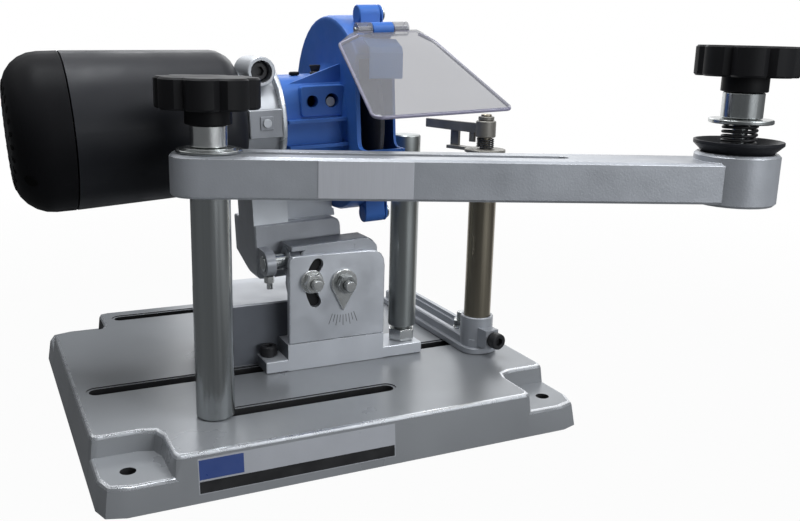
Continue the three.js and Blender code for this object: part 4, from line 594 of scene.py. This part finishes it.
# the castings' bevels get a painted highlight, the clear sheet's bevels its edge tint
edge_highlight_and_sheet_edge = {"plate_casting": painted_edge_highlight, "silver_casting": painted_edge_highlight,
              "clear_plastic": sheet_edge}
# second finishes: a painted highlight on the base's rounded edges, painted shade on the block's
# sides and the tilting block's top, and the collar's pad and the bracket's column in tones of
# their own
two_finishes = {
    "base_plate": (painted_edge_highlight, painted_highlight_rounding), "base_block": (painted_shade_casting, block_side),
    "head_collar": (pad_silver, collar_pad), "head_bracket": (column_silver, bracket_column),
    "tilt_block": (painted_shade_casting, tilt_top),
}
own_bevel = {"base_plate": 1.1, "head_collar": 1.4, "head_bracket": 1.0, "tilt_block": 0.8,
             "arm_knob": 0.25, "blade_knob": 0.25}


def dress_nodes():
    slots = {part["node"]: part["material_slot"] for part in frame["record"]["subparts"]}
    for name, thing in nodes.items():
        slot = slots[name]
        thing.data.materials.clear()
        thing.data.materials.append(own_finish.get(name, materials[slot]))
        bevel = soften(thing, own_bevel.get(name, bevel_widths[slot]))
        if name == "base_plate":
            paint_inner_shade(thing)
        if name in two_finishes:
            second_finish(thing, *two_finishes[name])
        if slot in edge_highlight_and_sheet_edge:
            thing.data.materials.append(edge_highlight_and_sheet_edge[slot])
            bevel.material = len(thing.data.materials) - 1


# trim and fine detail

def place(name, points, faces, material, body, slot, smooth=False):
    """A piece from points in millimetres, carried by one of the moving bodies."""
    mesh = bpy.data.meshes.new(name)
    mesh.from_pydata([Vector(point) * mm for point in points], [], faces)
    mesh.materials.append(material)
    tidy = bmesh.new()
    tidy.from_mesh(mesh)
    bmesh.ops.recalc_face_normals(tidy, faces=tidy.faces)
    tidy.to_mesh(mesh)
    tidy.free()
    if smooth:
        mesh.polygons.foreach_set("use_smooth", [True] * len(mesh.polygons))
        mesh.set_sharp_from_angle(angle=smooth_angle)
    thing = bpy.data.objects.new(name, mesh)
    bpy.context.scene.collection.objects.link(thing)
    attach(thing, body)
    return thing


def round_edges(thing, width):
    bevel = thing.modifiers.new("edges", "BEVEL")
    bevel.width = width * mm
    bevel.segments = bevel_segments
    bevel.limit_method = "ANGLE"


def sheet(front, behind):
    """Points and faces of a thin closed sheet between two grids of points."""
    rows, columns = len(front), len(front[0])
    points = [point for row in front for point in row] + [point for row in behind for point in row]
    back = rows * columns
    faces = []
    for i in range(rows - 1):
        for j in range(columns - 1):
            a = i * columns + j
            faces.append((a, a + 1, a + columns + 1, a + columns))
            faces.append((back + a, back + a + columns, back + a + columns + 1, back + a + 1))
    rim = list(range(columns))
    rim += [i * columns + columns - 1 for i in range(1, rows)]
    rim += [(rows - 1) * columns + j for j in range(columns - 2, -1, -1)]
    rim += [i * columns for i in range(rows - 2, 0, -1)]
    for a, b in zip(rim, rim[1:] + rim[:1]):
        faces.append((a, back + a, back + b, b))
    return points, faces


def sheet_strip(front, step):
    """A thin closed sheet whose back is its front moved by one step."""
    return sheet(front, [[Vector(point) + step for point in row] for row in front])


def gather(parts):
    """One list of points and faces from several."""
    points, faces = [], []
    for more, sides in parts:
        faces += [tuple(i + len(points) for i in face) for face in sides]
        points += more
    return points, faces


# the base's sloping front, at its foot and at its upper edge
base_front_height = 29.6
base_front_depths = (-106.52, -103.52)
label_lift = 0.12
label_thickness = 0.10
# plain panels on the base's front: sides, heights, layer and finish
label_panels = {
    "base_label": ((-142.6, -10.6), (5.4, 28.0), 0, label_light),
    "base_label_block": ((-142.0, -114.2), (14.6, 27.0), 1, label_blue),
    "base_label_strip": ((-142.0, -11.2), (6.0, 13.4), 1, label_black),
}


def front_depth(z, lift):
    """How far forward the base's front face is at a height, plus a lift off it."""
    foot, edge = base_front_depths
    share = z / base_front_height
    return foot * (1 - share) + edge * share - lift


def make_label():
    for name, (sides, heights, layer, material) in label_panels.items():
        lift = label_lift + layer * label_thickness
        rows = [[(x, front_depth(z, lift), z) for x in sides] for z in heights]
        points, faces = sheet_strip(rows, Vector((0, label_thickness, 0)))
        place(name, points, faces, material, "base", "plate_casting")


arm_pivot = Vector((-117.669, -52.521, 0))
arm_along = Vector((0.931056, -0.364877, 0))
arm_aside = Vector((0.364877, 0.931056, 0))
arm_half_width = 21.0
arm_heights = (179.8, 205.8)
arm_edge_round = 1.6
arm_plate_ends = (67.0, 125.0)
arm_plate_thickness = 0.35
arm_plate_round = 0.12


def on_arm(along, aside, z):
    return arm_pivot + arm_along * along + arm_aside * aside + Vector((0, 0, z))


def make_arm_plate():
    """The bare plate on the arm's front."""
    low, high = arm_heights[0] + arm_edge_round, arm_heights[1] - arm_edge_round
    front = -arm_half_width - arm_plate_thickness
    rows = [[on_arm(t, front, z) for t in arm_plate_ends] for z in (low, high)]
    points, faces = sheet_strip(rows, arm_aside * arm_plate_thickness)
    plate = place("arm_plate", points, faces, plate_bright, "arm", "silver_casting")
    round_edges(plate, arm_plate_round)


# the tilting block's bolt: the scale's centre, about which the motor and guard stand askew
head_pivot = (-3.669, 97.5)
scale_front = 3.5
scale_radii = (25.5, 31.5)
scale_long = 34.0
scale_step = 5.0
scale_marks = 4
scale_width = 0.45
scale_lift = 0.06
scale_thickness = 0.09


def make_scale():
    """Engraved degree marks under the tilt pointer."""
    marks = []
    for k in range(-scale_marks, scale_marks + 1):
        angle = math.radians(k * scale_step)
        out = Vector((math.sin(angle), 0, -math.cos(angle)))
        side = Vector((math.cos(angle), 0, math.sin(angle))) * scale_width / 2
        centre = Vector((head_pivot[0], scale_front - scale_lift, head_pivot[1]))
        far = scale_long if k % 2 == 0 else scale_radii[1]
        front = [[centre + out * r - side, centre + out * r + side] for r in (scale_radii[0], far)]
        marks.append(sheet_strip(front, Vector((0, scale_thickness, 0))))
    place("tilt_scale", *gather(marks), engraved, "head_base", "silver_casting")


wire_sides = 12


def tube(path, radius):
    """Points and faces of a round wire that follows a path, closed at both ends."""
    points, faces = [], []
    normal = None
    for i, point in enumerate(path):
        before, after = path[max(i - 1, 0)], path[min(i + 1, len(path) - 1)]
        run = (after - before).normalized()
        if normal is None:
            normal = run.orthogonal().normalized()
        normal = (normal - run * normal.dot(run)).normalized()
        other = run.cross(normal)
        for k in range(wire_sides):
            angle = 2 * math.pi * k / wire_sides
            points.append(point + (normal * math.cos(angle) + other * math.sin(angle)) * radius)
    for i in range(len(path) - 1):
        for k in range(wire_sides):
            a, b = i * wire_sides + k, i * wire_sides + (k + 1) % wire_sides
            faces.append((a, b, b + wire_sides, a + wire_sides))
    faces.append(tuple(range(wire_sides)))
    faces.append(tuple(range(len(points) - wire_sides, len(points))))
    return points, faces


coil_steps = 40


def coil_path(centre, radius, wire, low, high, turns, flat_turns, start=0.0):
    """A spring's path, its first and last turns lying flat."""
    path = []
    count = int(turns * coil_steps)
    climb = high - low - wire - 2 * flat_turns * wire
    active = turns - 2 * flat_turns
    for i in range(count + 1):
        turn = i / coil_steps
        if turn < flat_turns:
            z = low + wire / 2 + turn * wire
        elif turn > turns - flat_turns:
            z = high - wire / 2 - (turns - turn) * wire
        else:
            z = low + wire / 2 + flat_turns * wire + climb * (turn - flat_turns) / active
        angle = start + 2 * math.pi * turn
        path.append(Vector((centre[0] + radius * math.cos(angle),
                            centre[1] + radius * math.sin(angle), z)))
    return path


blade_axis = (196.097, -175.485)
blade_spring_wire = 1.9
blade_spring_radius = 10.4
blade_spring_heights = (208.7, 230.25)
blade_spring_turns = 7.5
blade_spring_flat = 0.75


def make_blade_spring():
    low, high = blade_spring_heights
    path = coil_path(blade_axis, blade_spring_radius, blade_spring_wire, low, high,
                     blade_spring_turns, blade_spring_flat)
    points, faces = tube(path, blade_spring_wire / 2)
    spring = place("blade_spring_wire", points, faces, materials["dark_steel"], "arm",
                   "dark_steel", smooth=True)
    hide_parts("blade_spring")
    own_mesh(spring)


stop_axis = (110.831, -4.521)
finger_spring_wire = 1.1
finger_spring_radius = 6.3
finger_spring_heights = (196.2, 204.4)
finger_spring_turns = 5.0
finger_spring_flat = 0.5
finger_spring_start = math.radians(200)


def make_finger_spring():
    low, high = finger_spring_heights
    path = coil_path(stop_axis, finger_spring_radius, finger_spring_wire, low, high,
                     finger_spring_turns, finger_spring_flat, finger_spring_start)
    points, faces = tube(path, finger_spring_wire / 2)
    spring = place("finger_spring_wire", points, faces, materials["dark_steel"],
                   "finger_carrier_body", "dark_steel", smooth=True)
    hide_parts("finger_spring")


# how far the motor and guard stand askew, and where the motor's axis runs
head_lean = math.asin(0.04885)
head_axis = (45.479, 219.2)


def on_head(x, y, z):
    """A place given square to the head, in millimetres."""
    across, up = x - head_pivot[0], z - head_pivot[1]
    cosine, sine = math.cos(head_lean), math.sin(head_lean)
    return Vector((head_pivot[0] + cosine * across - sine * up, y,
                   head_pivot[1] + sine * across + cosine * up))


cap_start = -220.97
cap_dome = 24.0
cap_flat = 29.4
cap_vents = 26
cap_vent_width = 3.0
cap_vent_angles = (math.radians(3), math.radians(17))
cap_vent_lift = 0.12
cap_vent_depth = 0.3
cap_vent_steps = 6
cap_vent_end_share = 0.6
cap_recess_angles = (math.radians(50), math.radians(212))
cap_recess_radius = 3.6
cap_recess_steps = 24
cap_recess_stretch = 1.3


def on_cap(rise, around, lift, aside=0.0):
    """A place on the end cap's dome: up the dome, around the axis, off the surface, sideways."""
    radius = cap_flat + (cap_dome + lift) * math.sin(rise)
    x = cap_start + cap_dome - (cap_dome + lift) * math.cos(rise)
    y = radius * math.cos(around) - aside * math.sin(around)
    z = radius * math.sin(around) + aside * math.cos(around)
    return on_head(x, head_axis[0] + y, head_axis[1] + z)


# the vents, drawn as dark sheets of painted shade on the dome
def make_cap_vents():
    start, end = cap_vent_angles
    vents = []
    for k in range(cap_vents):
        around = 2 * math.pi * (k + 0.5) / cap_vents
        layers = []
        for lift in (cap_vent_lift, cap_vent_lift - cap_vent_depth):
            rows = []
            for i in range(cap_vent_steps + 1):
                rise = start + (end - start) * i / cap_vent_steps
                half = cap_vent_width / 2 * (cap_vent_end_share if i in (0, cap_vent_steps) else 1)
                rows.append([on_cap(rise, around, lift, side * half) for side in (-1, 1)])
            layers.append(rows)
        vents.append(sheet(*layers))
    place("cap_vent_ring", *gather(vents), painted_hole_shade, "rocker", "black_enamel")


def make_cap_recess():
    """The mouth of the screw hole low on the cap's dome, a dark disc of painted shade."""
    rise, around = cap_recess_angles
    steps = cap_recess_steps
    rim = []
    for k in range(steps):
        angle = 2 * math.pi * k / steps
        up = cap_recess_radius / cap_dome * math.cos(angle) * cap_recess_stretch
        rim.append((rise + up, around, cap_recess_radius * math.sin(angle)))
    points, faces = [], []
    for lift in (cap_vent_lift, cap_vent_lift - cap_vent_depth):
        first = len(points)
        points += [on_cap(a, b, lift, away) for a, b, away in rim]
        points.append(on_cap(rise, around, lift))
        for k in range(steps):
            faces.append((first + k, first + (k + 1) % steps, first + steps))
    for k in range(steps):
        other = (k + 1) % steps
        faces.append((k, other, other + steps + 1, k + steps + 1))
    place("cap_screw_mouth", points, faces, painted_hole_shade, "rocker", "black_enamel")


tongue_sides = (3.0, 28.4)
tongue_profile = ((-23.6, 249.8), (-23.6, 267.0), (-22.0, 271.0), (-11.5, 276.6))
tongue_thickness = 1.4
tongue_drop = tongue_thickness / 3
tongue_round = tongue_thickness / 4


def make_tongue():
    """The spark tongue that closes the top of the guard's mouth, its blue painted lighter where
    light falls on its front.
    """
    rows = [[Vector((x, y, z)) for x in tongue_sides] for y, z in tongue_profile]
    points, faces = sheet_strip(rows, Vector((0, tongue_thickness, -tongue_drop)))
    tongue = place("spark_tongue", points, faces, tongue_painted_light_blue, "rocker", "blue_enamel")
    round_edges(tongue, tongue_round)


arc_shade_sides = (-43.0, -19.0)
arc_shade_heights = (79.0, 117.5)
arc_shade_depth = 8.65
arc_shade_thickness = 0.3


def make_arc_shade():
    """A dark sheet of painted shade on the tilting block's face, which only shows through the arc
    slot.
    """
    rows = [[Vector((x, arc_shade_depth, z)) for x in arc_shade_sides]
            for z in arc_shade_heights]
    points, faces = sheet_strip(rows, Vector((0, -arc_shade_thickness, 0)))
    place("arc_shade", points, faces, shade_lining_paint, "tilt", "silver_casting")


tilt_web_sides = (-2.0, 8.8)
tilt_web_heights = (107.2, 124.7)
tilt_web_depth = 9.1
tilt_web_thickness = 1.5


def make_tilt_web():
    """The thin web of the tilting block in front of the rocking lug."""
    rows = [[on_head(x, tilt_web_depth, z) for x in tilt_web_sides] for z in tilt_web_heights]
    points, faces = sheet_strip(rows, Vector((0, tilt_web_thickness, 0)))
    place("tilt_web", points, faces, materials["silver_casting"], "tilt", "silver_casting")


# the raised rim of the clear sheet, around the middle of its thickness
shield_rim = (
    (-2.6, -16.0, 278.0), (-15.6, -13.4, 272.1), (-26.3, -94.0, 230.2), (-23.2, -98.9, 229.4),
    (69.6, -98.9, 233.9), (72.4, -94.0, 235.1), (57.9, -13.4, 275.7), (44.3, -16.0, 280.3),
)
shield_rim_radius = 1.25
shield_rim_bend = 3.0
bend_steps = 5
# a bend takes at most this part of the straight run beside it
bend_share = 1 / 2.2


def rounded_path(corners, bend):
    """A path through corners, each turned with a short curve."""
    path = [Vector(corners[0])]
    for before, corner, after in zip(corners, corners[1:], corners[2:]):
        before, corner, after = Vector(before), Vector(corner), Vector(after)
        room = min((before - corner).length, (after - corner).length)
        reach = min(bend, room * bend_share)
        start = corner + (before - corner).normalized() * reach
        end = corner + (after - corner).normalized() * reach
        for i in range(bend_steps + 1):
            share = i / bend_steps
            path.append(start.lerp(corner, share).lerp(corner.lerp(end, share), share))
    path.append(Vector(corners[-1]))
    return path


def make_shield_rim():
    path = rounded_path(shield_rim, shield_rim_bend)
    place("shield_rim", *tube(path, shield_rim_radius), sheet_edge, "shield_body",
          "clear_plastic", smooth=True)


collar_ring_ends = (-44.3, -40.4)
collar_ring_radii = (34.4, 39.9)
collar_ring_edge = 0.8
collar_ring_round = collar_ring_edge / 3
collar_boss_round = collar_ring_edge / 2
collar_boss_place = (-55.4, 219.7)
collar_boss_size = 9.6
collar_boss_ends = (7.2, 6.1)
collar_screw_radius = 3.1
collar_screw_ends = (6.3, 4.7)
neck_screw_place = (-3.9, 231.4)
neck_screw_radius = 3.6
neck_screw_ends = (21.6, 15.2)
ring_steps = 96
screw_steps = 24


def ring(profile):
    """Points and faces of a closed ring around the head's axis, from a profile of x and radius."""
    points, faces = [], []
    count = len(profile)
    for k in range(ring_steps):
        angle = 2 * math.pi * k / ring_steps
        for x, radius in profile:
            points.append(on_head(x, head_axis[0] + radius * math.cos(angle),
                                  head_axis[1] + radius * math.sin(angle)))
        after = (k + 1) % ring_steps * count
        for i in range(count):
            j = (i + 1) % count
            faces.append((k * count + i, k * count + j, after + j, after + i))
    return points, faces


def stud(place_x, place_z, radius, ends, steps, turn=0.0):
    """Points and faces of a flat-ended bar that points to the front, square to the head."""
    points, faces = [], []
    for y in ends:
        for k in range(steps):
            angle = 2 * math.pi * k / steps + turn
            points.append(on_head(place_x + radius * math.cos(angle), y,
                                  place_z + radius * math.sin(angle)))
    for k in range(steps):
        other = (k + 1) % steps
        faces.append((k, other, other + steps, k + steps))
    faces.append(tuple(range(steps)))
    faces.append(tuple(range(2 * steps - 1, steps - 1, -1)))
    return points, faces


def make_collar_details():
    """The collar's flange and its boss with a screw, and the screw end in the guard's neck."""
    left, right = collar_ring_ends
    inner, outer = collar_ring_radii
    edge = collar_ring_edge
    profile = ((left, inner), (left, outer - edge), (left + edge, outer), (right - edge, outer),
               (right, outer - edge), (right, inner))
    flange = place("collar_flange", *ring(profile), collar_bright, "rocker", "silver_casting")
    round_edges(flange, collar_ring_round)
    boss = place("collar_boss", *stud(*collar_boss_place, collar_boss_size / math.sqrt(2),
                                      collar_boss_ends, 4, math.pi / 4),
                 pad_silver, "rocker", "silver_casting")
    round_edges(boss, collar_boss_round)
    screw = place("collar_boss_screw", *stud(*collar_boss_place, collar_screw_radius,
                                             collar_screw_ends, screw_steps),
                  collar_silver, "rocker", "zinc")
    round_edges(screw, collar_boss_round)
    end = place("neck_screw_end", *stud(*neck_screw_place, neck_screw_radius, neck_screw_ends,
                                        screw_steps),
                collar_silver, "rocker", "zinc")
    round_edges(end, collar_boss_round)


make_studio()
dress_nodes()
make_cap_vents()
make_cap_recess()
make_tongue()
make_arc_shade()
make_tilt_web()
make_shield_rim()
make_collar_details()
make_label()
make_arm_plate()
make_scale()
make_blade_spring()
make_finger_spring()
